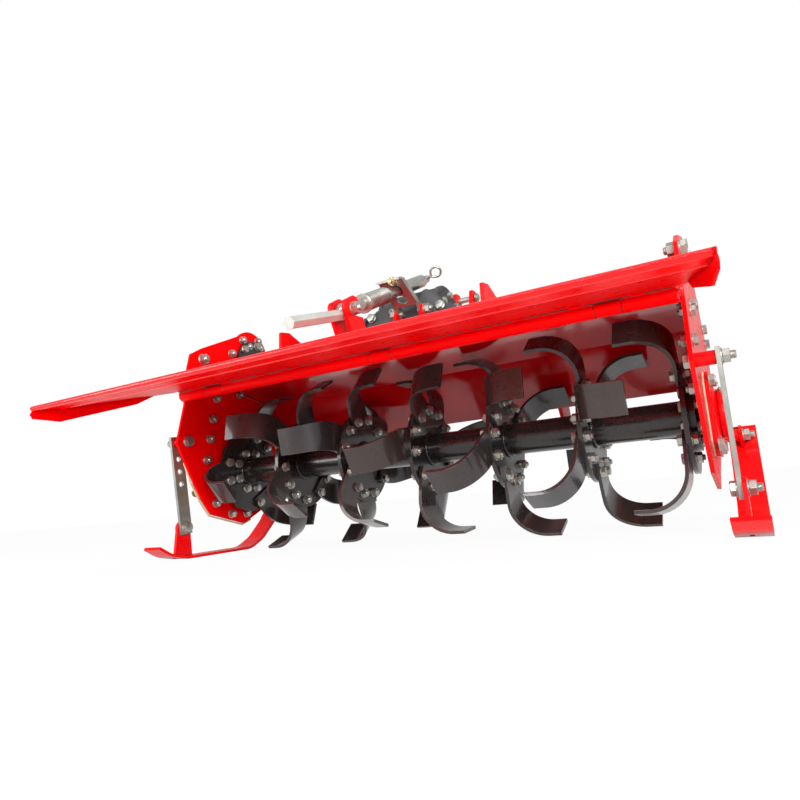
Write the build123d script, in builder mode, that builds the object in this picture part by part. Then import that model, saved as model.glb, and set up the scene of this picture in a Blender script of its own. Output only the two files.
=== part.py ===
from build123d import *
import os
from math import atan2, cos, degrees, hypot, radians, sin, tan

os.makedirs("parts", exist_ok=True)

# A tractor-mounted rotavator, standing on its two depth skids.
# +X is to the right seen from behind, +Y forward to the tractor, +Z up.
# Side views are drawn from the rotor axis: the first number is forward of it, the second above it.

# Rotor place in the frame of the whole machine
axis_y = 123.0            # rotor axis in front of the origin
axis_z = 240.0            # rotor axis over the ground

# Fits
run_gap = 0.05            # radial gap of a shaft in its bore
face_gap = 0.5            # gap between faces that slide past each other
paint_gap = 0.3           # gap between rounded faces that lie side by side

# Side plates
plate_in = 662.0          # inner face, from the middle
plate_t = 8.0
plate_out = plate_in + plate_t

# Rotor
flange_count = 7
flange_pitch = 210.0
flange_r = 122.0
flange_t = 10.0
tube_r = 38.5
tube_wall = 8.0
stub_r = 20.0
hub_disc_r = 74.0
hub_disc_t = 12.0
blade_t = 8.0
blade_root_r = 78.0
blade_root_half = 38.0
blade_reach = 118.0       # from the flange's middle to the end of the tip
blade_bend_r = 84.0
tip_lead_r = 237.0        # front corner of the tip, the rotor's largest radius
tip_lead_angle = 9.0      # how far the corner trails the blade's bolts
tip_trail_r = 212.0
tip_trail_angle = 25.5
blades_a_side = 3
first_phase = -29.0
phase_step = 18.5
hand_shift = 53.0         # turn between the right-hand and the left-hand blades of a flange

# Hood sheet
hood_t = 6.0
hood_half = plate_in
hood_fold_gap = 31.0      # from the blades' circle out to each fold
hood_fold_angle = 56.0
hood_rear_gap = 91.0
hood_rear_angle = 120.8
hood_front_gap = 23.0
hood_front_angle = 19.8

# Hinge of the tailboard
hinge_y = -225.0
hinge_z = 219.0
barrel_r = 17.0
pin_r = 9.0
knuckle_gap = 1.0
board_knuckles = [(-531.0, 26.0), (7.0, 25.0), (531.0, 26.0)]   # middle and half length along X

# Tailboard
board_t = 5.0
board_gap = 6.0           # clear space between the board's front edge and the barrel
board_rise = 13.6         # board's underside over the hinge's middle
board_bend = (-555.0, 164.0)
board_tip = (-622.0, 157.5)
board_tip_half = 740.0
board_root_half = 674.0
lip_h = 13.0
lip_lean = 60.0
lip_bend_r = 6.0
end_t = 5.0
end_front = -300.0        # front point of the upright end plates
end_low = [(-624.0, 147.0), (-618.0, 137.0), (-555.0, 133.0), (-360.0, 188.0)]

# Skids and the straps that set their depth
skid_in = 690.0
skid_w = 62.0
skid_t = 8.0
strap_in = 706.0
strap_t = 8.0
strap_w = 40.0
strap_top = (-214.0, 89.0)
strap_low = (-189.0, -153.0)
skid_pivot = (232.0, -38.0)
pivot_tube_r = 15.0
bolt_r = 8.0

# Cross drive and gearbox
shaft_y = 72.0
shaft_z = 356.0
drive_tube_r = 24.0
drive_tube_wall = 5.0
box_y = 93.0
box_z = 384.0
box_r = 74.0
box_left = -130.0
box_right = 36.0
box_floor = 302.0
pto_x = -30.0
pto_r = 17.5

# Linkage to the tractor
beam_y = 292.0
beam_z = 146.0
beam_side = 66.0
beam_wall = 6.0
link_y = 352.0
link_z = 30.0
link_spread = 683.0       # between the shoulders of the lower pins
link_pin_r = 11.0
link_pin_out = 62.0
mast_h = 460.0            # top pin over the lower pins
top_pin_y = 350.0
top_pin_r = 9.5
top_gap = 44.0            # space for the ball of the top link

# Spring rod
rod_x = -20.0
rod_r = 15.0
rod_pin = (-335.0, 309.0)
rod_slope = 23.4
yoke_pivot = (-5.0, 377.0)
yoke_w = 70.0
rod_pin_r = 8.0
sleeve_r = 18.0


def side(x):
    """Side-view plane at x, drawn from the rotor axis."""
    return Plane(origin=(x, axis_y, axis_z), x_dir=(0, 1, 0), z_dir=(1, 0, 0))


def front(y):
    """Front-view plane at y forward of the rotor axis: local x is +X, local y is +Z."""
    return Plane(origin=(0, axis_y + y, axis_z), x_dir=(1, 0, 0), z_dir=(0, -1, 0))


def top(z):
    """Plan plane at z above the rotor axis."""
    return Plane(origin=(0, axis_y, axis_z + z), x_dir=(1, 0, 0), z_dir=(0, 0, 1))


def offset_path(points, distance):
    """The path moved sideways by distance, to its left as it runs."""
    moved = []
    for index, point in enumerate(points):
        before = points[max(index - 1, 0)]
        after = points[min(index + 1, len(points) - 1)]
        turns = []
        if index > 0:
            turns.append(atan2(point[1] - before[1], point[0] - before[0]))
        if index < len(points) - 1:
            turns.append(atan2(after[1] - point[1], after[0] - point[0]))
        heading = sum(turns) / len(turns)
        spread = cos((turns[-1] - turns[0]) / 2)
        moved.append((point[0] - sin(heading) * distance / spread,
                      point[1] + cos(heading) * distance / spread))
    return moved


def strip_outline(points, thickness):
    """Closed outline of a bent strip whose right-hand face runs through the points."""
    return list(points) + offset_path(points, thickness)[::-1]


def along(start, angle, distance, across=0.0):
    """Point at a distance from start along a heading in degrees, and across it to the left."""
    turn = radians(angle)
    return (start[0] + cos(turn) * distance - sin(turn) * across,
            start[1] + sin(turn) * distance + cos(turn) * across)


def save(piece, name):
    piece.part.label = name
    export_step(piece.part, "parts/" + name + ".step")


# ---------------------------------------------------------------- side plates
left_crown = [(150, 400), (25, 445), (-145, 374), (-191, 349)]
right_crown = [(150, 388), (110, 400), (-20, 396), (-150, 358), (-197, 330)]
plate_rim = [(-209, 287), (-220, 193), (-252, 82), (-194, -32), (-164, -82), (-133, -122), (1, -157),
             (81, -122), (250, -74), (330, 40), (332, 196), (262, 250)]
lobe = (67, 384)          # round top of the left-hand plate, about the shaft's drive
lobe_r = 78.0
left_hole_r = 60.0
right_hole_r = 52.0

for name, x, hole_r, crown in (("side_plate_left", -plate_out, left_hole_r, left_crown),
                               ("side_plate_right", plate_in, right_hole_r, right_crown)):
    with BuildPart() as side_plate:
        with BuildSketch(side(x)):
            with BuildLine():
                Polyline(*crown, *plate_rim, close=True)
            make_face()
            Circle(hole_r, mode=Mode.SUBTRACT)
            if x < 0:
                with Locations(lobe):
                    Circle(lobe_r)
                with Locations((shaft_y, shaft_z)):
                    Circle(drive_tube_r + paint_gap, mode=Mode.SUBTRACT)
        extrude(amount=plate_t)
        with BuildSketch(side(x)):
            with Locations(strap_top, skid_pivot):
                Circle(bolt_r)
        extrude(amount=plate_t, mode=Mode.SUBTRACT)
    save(side_plate, name)

# ---------------------------------------------------------------- hood
hood_fold = along((0, 0), hood_fold_angle, tip_lead_r + hood_fold_gap)
hood_rear_top = along((0, 0), hood_rear_angle, tip_lead_r + hood_rear_gap)
hood_front_low = along((0, 0), hood_front_angle, tip_lead_r + hood_front_gap)
hood_rear_low = along((hinge_y, hinge_z), 50, barrel_r - hood_t / 2)
hood_path = [hood_front_low, hood_fold, hood_rear_top, hood_rear_low]
hood_skin = offset_path(hood_path, -hood_t)

with BuildPart() as hood:
    with BuildSketch(side(-hood_half)):
        with BuildLine():
            Polyline(*strip_outline(hood_path, -hood_t), hood_path[0])
        make_face()
    extrude(amount=2 * hood_half)
    with BuildSketch(side(-hood_half)):
        with Locations((hinge_y, hinge_z)):
            Circle(barrel_r)
    extrude(amount=2 * hood_half)
    for middle, half in board_knuckles:
        with BuildSketch(side(middle - half - knuckle_gap)):
            with Locations((hinge_y, hinge_z)):
                Circle(barrel_r + board_gap)
        extrude(amount=2 * (half + knuckle_gap), mode=Mode.SUBTRACT)
    with BuildSketch(side(-hood_half)):
        with Locations((hinge_y, hinge_z)):
            Circle(pin_r + run_gap)
    extrude(amount=2 * hood_half, mode=Mode.SUBTRACT)
save(hood, "hood")

# Triangular ears join the ends of the hood to the side plates
ear_t = 6.0
ear_rise = 62.0
with BuildPart() as hood_ears:
    for x in (-plate_in, plate_in - ear_t):
        with BuildSketch(side(x)):
            with BuildLine():
                rear = hood_skin[2]
                fore = hood_skin[1]
                Polyline(rear, fore, (fore[0] - 20, fore[1] + ear_rise * 0.4),
                         (rear[0] + 110, rear[1] + ear_rise * 0.7), rear)
            make_face()
        extrude(amount=ear_t)
save(hood_ears, "hood_ears")

hood_slope = degrees(atan2(hood_rear_top[1] - hood_fold[1], hood_rear_top[0] - hood_fold[0])) - 180


def hood_top(y):
    """Height of the hood's top face at y."""
    run = tan(radians(hood_slope))
    return hood_fold[1] + (y - hood_fold[0]) * run + hood_t / cos(radians(hood_slope))


# Stiffening gussets on top of the hood
gusset_x = 279.0
gusset_t = 8.0
gusset_rear = -262.0
gusset_peak = 326.0
with BuildPart() as hood_gussets:
    for x in (-gusset_x - gusset_t / 2, gusset_x - gusset_t / 2):
        with BuildSketch(side(x)):
            with BuildLine():
                Polyline((gusset_rear + 8, 262), (gusset_rear + 14, gusset_peak),
                         (gusset_rear + 46, gusset_peak + 4), (-60, hood_top(-60)),
                         hood_skin[2], hood_skin[3], (hinge_y, hinge_z), close=True)
            make_face()
            with Locations((hinge_y, hinge_z)):
                Circle(barrel_r + paint_gap, mode=Mode.SUBTRACT)
        extrude(amount=gusset_t)
save(hood_gussets, "hood_gussets")

# ---------------------------------------------------------------- front beam and lower links
with BuildPart() as front_beam:
    with BuildSketch(side(-plate_in)):
        with Locations((beam_y, beam_z)):
            RectangleRounded(beam_side, beam_side, 10)
            RectangleRounded(beam_side - 2 * beam_wall, beam_side - 2 * beam_wall, 4,
                             mode=Mode.SUBTRACT)
    extrude(amount=2 * plate_in)
save(front_beam, "front_beam")

bracket_t = 10.0
bracket_gap = 46.0
shoulder = link_spread / 2
beam_low = beam_z - beam_side / 2
beam_high = beam_z + beam_side / 2
with BuildPart() as link_brackets:
    for hand in (-1, 1):
        for inboard in (bracket_t, bracket_t + bracket_gap + bracket_t):
            x = hand * (shoulder - inboard + bracket_t / 2) - bracket_t / 2
            with BuildSketch(side(x)):
                with BuildLine():
                    Polyline((beam_y - beam_side / 2, beam_low), (beam_y + beam_side / 2, beam_low),
                             (beam_y + beam_side / 2, beam_high),
                             (beam_y + beam_side / 2 + 14, beam_high), (link_y + 26, link_z + 20),
                             (link_y + 26, link_z - 24), (link_y - 26, link_z - 24),
                             (beam_y - beam_side / 2, beam_low))
                make_face()
                with Locations((link_y, link_z)):
                    Circle(link_pin_r + run_gap, mode=Mode.SUBTRACT)
            extrude(amount=bracket_t)
save(link_brackets, "link_brackets")

link_collar_r = 17.0
link_collar_t = 8.0
with BuildPart() as link_pins:
    for hand in (-1, 1):
        inner = shoulder - 2 * bracket_t - bracket_gap - 14
        with BuildSketch(side(hand * inner)):
            with Locations((link_y, link_z)):
                Circle(link_pin_r)
        extrude(amount=hand * (shoulder + link_pin_out - inner))
        with BuildSketch(side(hand * shoulder)):
            with Locations((link_y, link_z)):
                Circle(link_collar_r)
        extrude(amount=hand * link_collar_t)
save(link_pins, "link_pins")

# ---------------------------------------------------------------- mast for the top link
mast_t = 12.0
mast_deck_z = 446.0
mast_deck_half = 150.0
mast_foot_half = 200.0
mast_leg_w = 50.0
top_pin_z = link_z + mast_h
mast_y = beam_y + beam_side / 2
lug_top = top_pin_z + 22

with BuildPart() as mast:
    with BuildSketch(front(mast_y)):
        with BuildLine():
            Polyline((-mast_foot_half - mast_leg_w, beam_low), (-mast_deck_half, mast_deck_z + mast_t),
                     (mast_deck_half, mast_deck_z + mast_t), (mast_foot_half + mast_leg_w, beam_low),
                     (mast_foot_half, beam_low), (mast_deck_half - mast_leg_w, mast_deck_z - 6),
                     (mast_leg_w - mast_deck_half, mast_deck_z - 6), (-mast_foot_half, beam_low),
                     (-mast_foot_half - mast_leg_w, beam_low))
        make_face()
    extrude(amount=-mast_t)
    for x in (-top_gap / 2 - mast_t, top_gap / 2):
        with BuildSketch(side(x)):
            with BuildLine():
                Polyline((mast_y, mast_deck_z - 6), (top_pin_y + 16, mast_deck_z - 6),
                         (top_pin_y + 22, mast_deck_z + 8), (top_pin_y + 18, lug_top - 10),
                         (top_pin_y + 8, lug_top), (top_pin_y - 18, lug_top),
                         (top_pin_y - 32, mast_deck_z + mast_t), (mast_y, mast_deck_z + mast_t),
                         (mast_y, mast_deck_z - 6))
            make_face()
            with Locations((top_pin_y, top_pin_z)):
                Circle(top_pin_r + run_gap, mode=Mode.SUBTRACT)
        extrude(amount=mast_t)
save(mast, "mast")

top_pin_head_r = 14.0
top_pin_over = 12.0
with BuildPart() as top_pin:
    reach = top_gap / 2 + mast_t
    with BuildSketch(side(-reach - top_pin_over)):
        with Locations((top_pin_y, top_pin_z)):
            Circle(top_pin_r)
    extrude(amount=2 * (reach + top_pin_over))
    with BuildSketch(side(reach + 2)):
        with Locations((top_pin_y, top_pin_z)):
            Circle(top_pin_head_r)
    extrude(amount=6)
save(top_pin, "top_pin")

brace_x = 168.0
with BuildPart() as mast_braces:
    for x in (-brace_x - mast_t / 2, brace_x - mast_t / 2):
        with BuildSketch(side(x)):
            with BuildLine():
                Polyline((mast_y, beam_high), (mast_y, beam_high + 120), (mast_y - 24, beam_high + 120),
                         (108, hood_top(108)), hood_skin[1],
                         (beam_y - beam_side / 2, beam_high), (mast_y, beam_high))
            make_face()
        extrude(amount=mast_t)
save(mast_braces, "mast_braces")

# ---------------------------------------------------------------- gearbox and cross drive
box_rear = box_y - box_r
box_front = box_y + box_r
pto_z = 372.0
boss_r = 52.0
boss_l = 34.0
shaft_flange_r = 58.0
shaft_flange_left = -202.0
with BuildPart() as gearbox:
    with BuildSketch(side(box_left)):
        with Locations((box_y, box_z)):
            Circle(box_r)
        with Locations((box_y, (box_z + box_floor) / 2)):
            Rectangle(2 * box_r, box_z - box_floor)
    extrude(amount=box_right - box_left)
    with BuildSketch(side(box_right)):
        with Locations((box_y, box_z)):
            Circle(box_r - 14)
    extrude(amount=18)
    with BuildSketch(side(shaft_flange_left)):
        with Locations((shaft_y, shaft_z)):
            Circle(shaft_flange_r - 14)
    extrude(amount=box_left - shaft_flange_left)
    with BuildSketch(side(shaft_flange_left)):
        with Locations((shaft_y, shaft_z)):
            Circle(shaft_flange_r)
    extrude(amount=14)
    with BuildSketch(front(box_front + boss_l)):
        with Locations((pto_x, pto_z)):
            Circle(boss_r)
    extrude(amount=boss_l + 20)
    with BuildSketch(front(box_front + boss_l)):
        with Locations((pto_x, pto_z)):
            Circle(pto_r + run_gap)
    extrude(amount=boss_l, mode=Mode.SUBTRACT)
save(gearbox, "gearbox")

seat_t = 10.0
with BuildPart() as gearbox_seat:
    with BuildSketch(top(box_floor - seat_t)):
        with Locations(((box_left + box_right) / 2, box_y)):
            Rectangle(box_right - box_left + 30, 2 * box_r + 8)
    extrude(amount=seat_t)
    for x in (box_left + 8, box_right - 8 - seat_t):
        with BuildSketch(side(x)):
            with BuildLine():
                rear = box_rear - 4
                fore = hood_fold[0] - 6
                Polyline((rear, hood_top(rear)), (fore, hood_top(fore)), (fore, box_floor - seat_t),
                         (rear, box_floor - seat_t), (rear, hood_top(rear)))
            make_face()
        extrude(amount=seat_t)
save(gearbox_seat, "gearbox_seat")

guard_r = 84.0
guard_t = 4.0
guard_l = 96.0
with BuildPart() as pto_guard:
    with BuildSketch(front(box_front + boss_l + guard_l)):
        with Locations((pto_x, pto_z)):
            Circle(guard_r)
            Circle(guard_r - guard_t, mode=Mode.SUBTRACT)
    extrude(amount=guard_l)
    with BuildSketch(front(box_front + boss_l + guard_t)):
        with Locations((pto_x, pto_z)):
            Circle(guard_r)
            Circle(pto_r + 10, mode=Mode.SUBTRACT)
    extrude(amount=guard_t)
save(pto_guard, "pto_guard")

pto_l = 82.0
pto_in = 30.0
spline_count = 6
spline_d = 3.0
spline_w = 8.0
groove_r = 15.0
with BuildPart() as pto_stub:
    with BuildSketch(front(box_front + boss_l + pto_l)):
        with Locations((pto_x, pto_z)):
            Circle(pto_r)
            with PolarLocations(pto_r - spline_d / 2, spline_count):
                Rectangle(spline_d + 0.2, spline_w, mode=Mode.SUBTRACT)
    extrude(amount=pto_l - 6)
    with BuildSketch(front(box_front + boss_l + 6)):
        with Locations((pto_x, pto_z)):
            Circle(pto_r)
    extrude(amount=pto_in + 6)
save(pto_stub, "pto_stub")

with BuildPart() as drive_tube:
    with BuildSketch(side(-plate_out)):
        with Locations((shaft_y, shaft_z)):
            Circle(drive_tube_r)
            Circle(drive_tube_r - drive_tube_wall, mode=Mode.SUBTRACT)
    extrude(amount=plate_out + shaft_flange_left)
save(drive_tube, "drive_tube")

disc_r = 72.0
disc_t = 10.0
with BuildPart() as bearing_disc:
    with BuildSketch(side(-plate_in)):
        with Locations((shaft_y, shaft_z)):
            Circle(disc_r)
            Circle(drive_tube_r + paint_gap, mode=Mode.SUBTRACT)
    extrude(amount=disc_t)
save(bearing_disc, "bearing_disc")

# ---------------------------------------------------------------- side drive case, left
gasket_t = 3.0
case_d = 62.0
case_low_r = 112.0
case_top_r = 62.0
case_rim_t = 8.0
case_left = -plate_out - gasket_t - case_d
case_rim = [(20, 438), (-38, 380), (-132, 165), (-146, 99), (-160, 36), (-150, -40), (-131, -98),
            (-62, -138), (14, -142), (70, -122), (120, -60), (135, 60), (140, 300), (122, 414), (92, 444)]
gasket_rear = [(20, 438), (-38, 380), (-132, 165), (-150, 80)]
gasket_front = [(125, -60), (140, 60), (143, 300), (125, 416), (94, 448)]


def case_hull():
    """Hull of the two gear circles of the side drive."""
    run = hypot(shaft_y, shaft_z)
    tilt = atan2(shaft_z, shaft_y)
    lean = atan2(case_low_r - case_top_r, run)
    low = [(cos(tilt + turn) * case_low_r, sin(tilt + turn) * case_low_r)
           for turn in (radians(90) - lean, lean - radians(90))]
    high = [(shaft_y + cos(tilt + turn) * case_top_r, shaft_z + sin(tilt + turn) * case_top_r)
            for turn in (lean - radians(90), radians(90) - lean)]
    return low + high


# The gasket is cut flush with the plate along its lower edge
with BuildPart() as case_gasket:
    with BuildSketch(side(-plate_out - gasket_t)):
        with BuildLine():
            Polyline(*gasket_rear, *plate_rim[3:8], *gasket_front, close=True)
        make_face()
        Circle(left_hole_r, mode=Mode.SUBTRACT)
    extrude(amount=gasket_t)
save(case_gasket, "case_gasket")

case_edge_r = 14.0
case_boss_r = 42.0
case_boss_t = 6.0
with BuildPart() as side_case:
    with BuildSketch(side(case_left)):
        Circle(case_low_r)
        with Locations((shaft_y, shaft_z)):
            Circle(case_top_r)
        with BuildLine():
            Polyline(*case_hull(), close=True)
        make_face()
    extrude(amount=case_d)
    fillet(side_case.faces().sort_by(Axis.X)[0].outer_wire().edges(), radius=case_edge_r)
    with BuildSketch(side(-plate_out - gasket_t - case_rim_t)):
        with BuildLine():
            Polyline(*case_rim, close=True)
        make_face()
    extrude(amount=case_rim_t)
    with BuildSketch(side(case_left)):
        Circle(stub_r + run_gap)
    extrude(amount=case_d, mode=Mode.SUBTRACT)
    with BuildSketch(side(case_left)):
        Circle(case_boss_r)
    extrude(amount=case_boss_t)
save(side_case, "side_case")

# ---------------------------------------------------------------- right rotor bearing
cover_t = 8.0
cover_right = plate_out + gasket_t + cover_t
housing_l = 24.0
housing_waist = 10.0
housing_waist_r = 42.0
housing_r = 50.0
housing_end = 8.0
cover_outline = [(-92, 60), (-60, 86), (60, 86), (92, 60), (92, -60), (60, -90), (-60, -90), (-92, -60)]
with BuildPart() as bearing_gasket:
    with BuildSketch(side(plate_out)):
        with BuildLine():
            Polyline(*cover_outline, close=True)
        make_face()
        Circle(right_hole_r, mode=Mode.SUBTRACT)
    extrude(amount=gasket_t)
save(bearing_gasket, "bearing_gasket")

with BuildPart() as bearing_housing:
    with BuildSketch(side(plate_out + gasket_t)):
        with BuildLine():
            Polyline(*cover_outline, close=True)
        make_face()
    extrude(amount=cover_t)
    with BuildSketch(side(cover_right)):
        Circle(housing_waist_r)
    extrude(amount=housing_l)
    with BuildSketch(side(cover_right + housing_waist)):
        Circle(housing_r)
    extrude(amount=housing_l - housing_waist)
    with BuildSketch(side(plate_out + gasket_t)):
        Circle(stub_r + run_gap)
    extrude(amount=cover_t + housing_l - housing_end, mode=Mode.SUBTRACT)
save(bearing_housing, "bearing_housing")

# ---------------------------------------------------------------- rotor
half_rotor = flange_pitch * (flange_count - 1) / 2
stub_left = case_left + case_boss_t + 2
stub_right = cover_right + housing_l - housing_end - 4
stub_root = 20.0
with BuildPart() as rotor_tube:
    with BuildSketch(side(-half_rotor - flange_t / 2)):
        Circle(tube_r)
        Circle(tube_r - tube_wall, mode=Mode.SUBTRACT)
    extrude(amount=2 * half_rotor + flange_t)
    with BuildSketch(side(stub_left)):
        Circle(stub_r)
    extrude(amount=-half_rotor - flange_t / 2 + stub_root - stub_left)
    with BuildSketch(side(half_rotor + flange_t / 2 - stub_root)):
        Circle(stub_r)
    extrude(amount=stub_right - half_rotor - flange_t / 2 + stub_root)
    for x in (-half_rotor - flange_t / 2, half_rotor + flange_t / 2 - stub_root):
        with BuildSketch(side(x)):
            Circle(tube_r)
        extrude(amount=stub_root)
save(rotor_tube, "rotor_tube")

flange_places = [(index - (flange_count - 1) / 2) * flange_pitch for index in range(flange_count)]
phases = [first_phase + phase_step * index for index in range(flange_count)]


def blade_angles(index, hand):
    """Angles about the rotor of the blades that point to one hand on one flange."""
    step = 360 / blades_a_side
    start = phases[index] + (0 if hand > 0 else hand_shift)
    return [start + step * turn for turn in range(blades_a_side)]


with BuildPart() as rotor_flanges:
    for index, x in enumerate(flange_places):
        with BuildSketch(side(x - flange_t / 2)):
            Circle(flange_r)
            Circle(tube_r, mode=Mode.SUBTRACT)
        extrude(amount=flange_t)
    for x in (flange_places[0] - flange_t / 2 - hub_disc_t, flange_places[-1] + flange_t / 2):
        with BuildSketch(side(x)):
            Circle(hub_disc_r)
            Circle(stub_r, mode=Mode.SUBTRACT)
        extrude(amount=hub_disc_t)
save(rotor_flanges, "rotor_flanges")


def spoke(radius, angle):
    """Point at a radius of the rotor, an angle in degrees behind the top."""
    turn = radians(angle)
    return (-sin(turn) * radius, cos(turn) * radius)


# One blade on the right face of a flange at the origin, its bolts straight above the rotor.
# The leg bends over to the right; the tip's front corner runs on a larger circle than its rear one.
tip_lead = spoke(tip_lead_r, tip_lead_angle)
tip_trail = spoke(tip_trail_r, tip_trail_angle)
tip_w = hypot(tip_lead[0] - tip_trail[0], tip_lead[1] - tip_trail[1])
tip_heading = ((tip_trail[0] - tip_lead[0]) / tip_w, (tip_trail[1] - tip_lead[1]) / tip_w)
tip_depth = tip_lead[1] * -tip_heading[0] + tip_lead[0] * tip_heading[1]
leg_front = (16.0, 162.0)     # middle of the leg's front edge
leg_rear = (-56.0, 136.0)
with BuildPart() as blade:
    reach_back = 2 * tip_lead_r
    with BuildSketch(Plane(origin=(0, -tip_heading[0] * reach_back, -tip_heading[1] * reach_back),
                           x_dir=(1, 0, 0), z_dir=(0, tip_heading[0], tip_heading[1]))):
        with BuildLine():
            FilletPolyline((flange_t / 2, 0), (flange_t / 2, tip_depth), (blade_reach, tip_depth),
                           radius=blade_bend_r)
            offset(amount=blade_t, side=Side.RIGHT)
        make_face()
    extrude(amount=2 * reach_back)
    with BuildSketch(Plane.YZ):
        with BuildLine():
            ThreePointArc((blade_root_half, blade_root_r), leg_front, tip_lead)
            Line(tip_lead, tip_trail)
            ThreePointArc(tip_trail, leg_rear, (-blade_root_half, blade_root_r))
            Line((-blade_root_half, blade_root_r), (blade_root_half, blade_root_r))
        make_face()
    extrude(amount=blade_reach, mode=Mode.INTERSECT)
blade_left = mirror(blade.part, about=Plane.YZ)

# End flanges carry only the blades that point inwards
for name, hand, shape in (("blades_right", 1, blade.part), ("blades_left", -1, blade_left)):
    with BuildPart() as blades:
        bearers = range(flange_count - 1) if hand > 0 else range(1, flange_count)
        for index in bearers:
            for angle in blade_angles(index, hand):
                with Locations(Location((flange_places[index], axis_y, axis_z), (angle, 0, 0))):
                    add(shape)
    save(blades, name)

# ---------------------------------------------------------------- tailboard
board_slope = degrees(atan2(hinge_z + board_rise - board_bend[1], hinge_y - board_bend[0]))
board_line = (hinge_y, hinge_z + board_rise)
board_root = along(board_line, 180 + board_slope, barrel_r + board_gap)
board_crown = along(board_tip, lip_lean, lip_h)
board_path = [board_root, board_bend, board_tip, board_crown]
board_spread = (board_tip_half - board_root_half) / (hinge_y - board_tip[0])
board_rear = board_tip[0] - lip_h


def board_half(y):
    """Half the width of the tailboard at y: its ends run out to the rear."""
    return board_root_half + (hinge_y - y) * board_spread


# One upright end plate, under the right-hand end of the sheet
with BuildPart() as board_end:
    end_low_half, end_high_half = sorted((board_root_half, board_half(board_rear)))
    with BuildSketch(side(end_low_half - 2 * end_t)):
        with BuildLine():
            under = offset_path(board_path, -board_t / 2)
            fore = board_line[1] - (hinge_y - end_front) * tan(radians(board_slope)) + board_t / 2
            Polyline(*end_low, (end_front, fore), under[1], (board_tip[0] + 4, under[2][1] - 3), close=True)
        make_face()
    extrude(amount=end_high_half - end_low_half + 4 * end_t)
    with BuildSketch(top(0)):
        with BuildLine():
            Polyline((board_half(board_rear), board_rear), (board_half(end_front), end_front),
                     (board_half(end_front) - end_t, end_front), (board_half(board_rear) - end_t, board_rear),
                     close=True)
        make_face()
    extrude(amount=hinge_z, mode=Mode.INTERSECT)

with BuildPart() as tailboard:
    with BuildSketch(side(-board_half(board_rear))):
        with BuildLine():
            FilletPolyline(*board_path, radius=lip_bend_r)
            offset(amount=board_t, side=Side.RIGHT)
        make_face()
    extrude(amount=2 * board_half(board_rear))
    with BuildSketch(top(0)):
        with BuildLine():
            fore = hinge_y + 2 * barrel_r
            Polyline((-board_root_half, fore), (-board_root_half, hinge_y),
                     (-board_half(board_rear), board_rear), (board_half(board_rear), board_rear),
                     (board_root_half, hinge_y), (board_root_half, fore), close=True)
        make_face()
    extrude(amount=hinge_z + board_rise + barrel_r, mode=Mode.INTERSECT)
    add(board_end.part)
    add(mirror(board_end.part, about=Plane.YZ))
    for middle, half in board_knuckles:
        with BuildSketch(side(middle - half)):
            with Locations((hinge_y, hinge_z)):
                Circle(barrel_r)
            with BuildLine():
                inner = along(board_line, 180 + board_slope, pin_r)
                past = along(board_line, 180 + board_slope, barrel_r + board_gap + 4)
                Polyline(*strip_outline([inner, past], -board_t), close=True)
            make_face()
        extrude(amount=2 * half)
    with BuildSketch(side(-board_root_half)):
        with Locations((hinge_y, hinge_z)):
            Circle(pin_r + run_gap)
    extrude(amount=2 * board_root_half, mode=Mode.SUBTRACT)
save(tailboard, "tailboard")

with BuildPart() as hinge_pin:
    with BuildSketch(side(1 - plate_in)):
        with Locations((hinge_y, hinge_z)):
            Circle(pin_r)
    extrude(amount=2 * (plate_in - 1))
save(hinge_pin, "hinge_pin")


def board_top(y):
    """Height of the tailboard's top face at y, between its hinge and its bend."""
    rise = tan(radians(board_slope))
    return board_bend[1] + (y - board_bend[0]) * rise + board_t / cos(radians(board_slope))


# Clevis of the spring rod: two ears that lean back with the board, open to the front
ear_gap = 30.0
clevis_t = 8.0
clevis_foot_rear = -331.0
clevis_foot_front = -262.0
# Corners of an ear, measured from the rod's pin
clevis_corners = [(51, -41), (23, 25), (17, 31), (3, 32), (-29, 15), (-35, 5), (-35, -7)]
slot_low = 7.0            # room under the pin while the board swings
slot_high = 2.0
with BuildPart() as board_clevis:
    for x in (rod_x - ear_gap / 2 - clevis_t, rod_x + ear_gap / 2):
        with BuildSketch(side(x)):
            with BuildLine():
                rear = (clevis_foot_rear, board_top(clevis_foot_rear))
                fore = (clevis_foot_front, board_top(clevis_foot_front))
                Polyline(rear, fore, *[(rod_pin[0] + y, rod_pin[1] + z) for y, z in clevis_corners], rear)
            make_face()
            with BuildLine():
                Polyline((rod_pin[0], rod_pin[1] - rod_pin_r - slot_low),
                         (rod_pin[0] + 80, rod_pin[1] - rod_pin_r - slot_low + 6),
                         (rod_pin[0] + 80, rod_pin[1] + rod_pin_r + slot_high + 6),
                         (rod_pin[0] - 6, rod_pin[1] + rod_pin_r + slot_high),
                         (rod_pin[0] - rod_pin_r - 3, rod_pin[1] + 3),
                         (rod_pin[0] - rod_pin_r - 3, rod_pin[1] - 8), close=True)
            make_face(mode=Mode.SUBTRACT)
        extrude(amount=clevis_t)
    with BuildSketch(side(rod_x - ear_gap / 2 - clevis_t)):
        with BuildLine():
            deck = offset_path([rear, fore], 6)
            Polyline(rear, fore, deck[1], deck[0], close=True)
        make_face()
    extrude(amount=ear_gap + 2 * clevis_t)
save(board_clevis, "board_clevis")

# ---------------------------------------------------------------- yoke and spring rod
yoke_t = 6.0
yoke_left = rod_x - yoke_w / 2
yoke_right = rod_x + yoke_w / 2
yoke_top = (-110.0, 436.0)
yoke_low = (-30.0, 388.0)
window_r = 15.0
yoke_rim = 16.0


def on_rod(distance, across=0.0):
    """Point on the spring rod's axis, a distance forward of its pin."""
    return along(rod_pin, rod_slope, distance, across)


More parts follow.
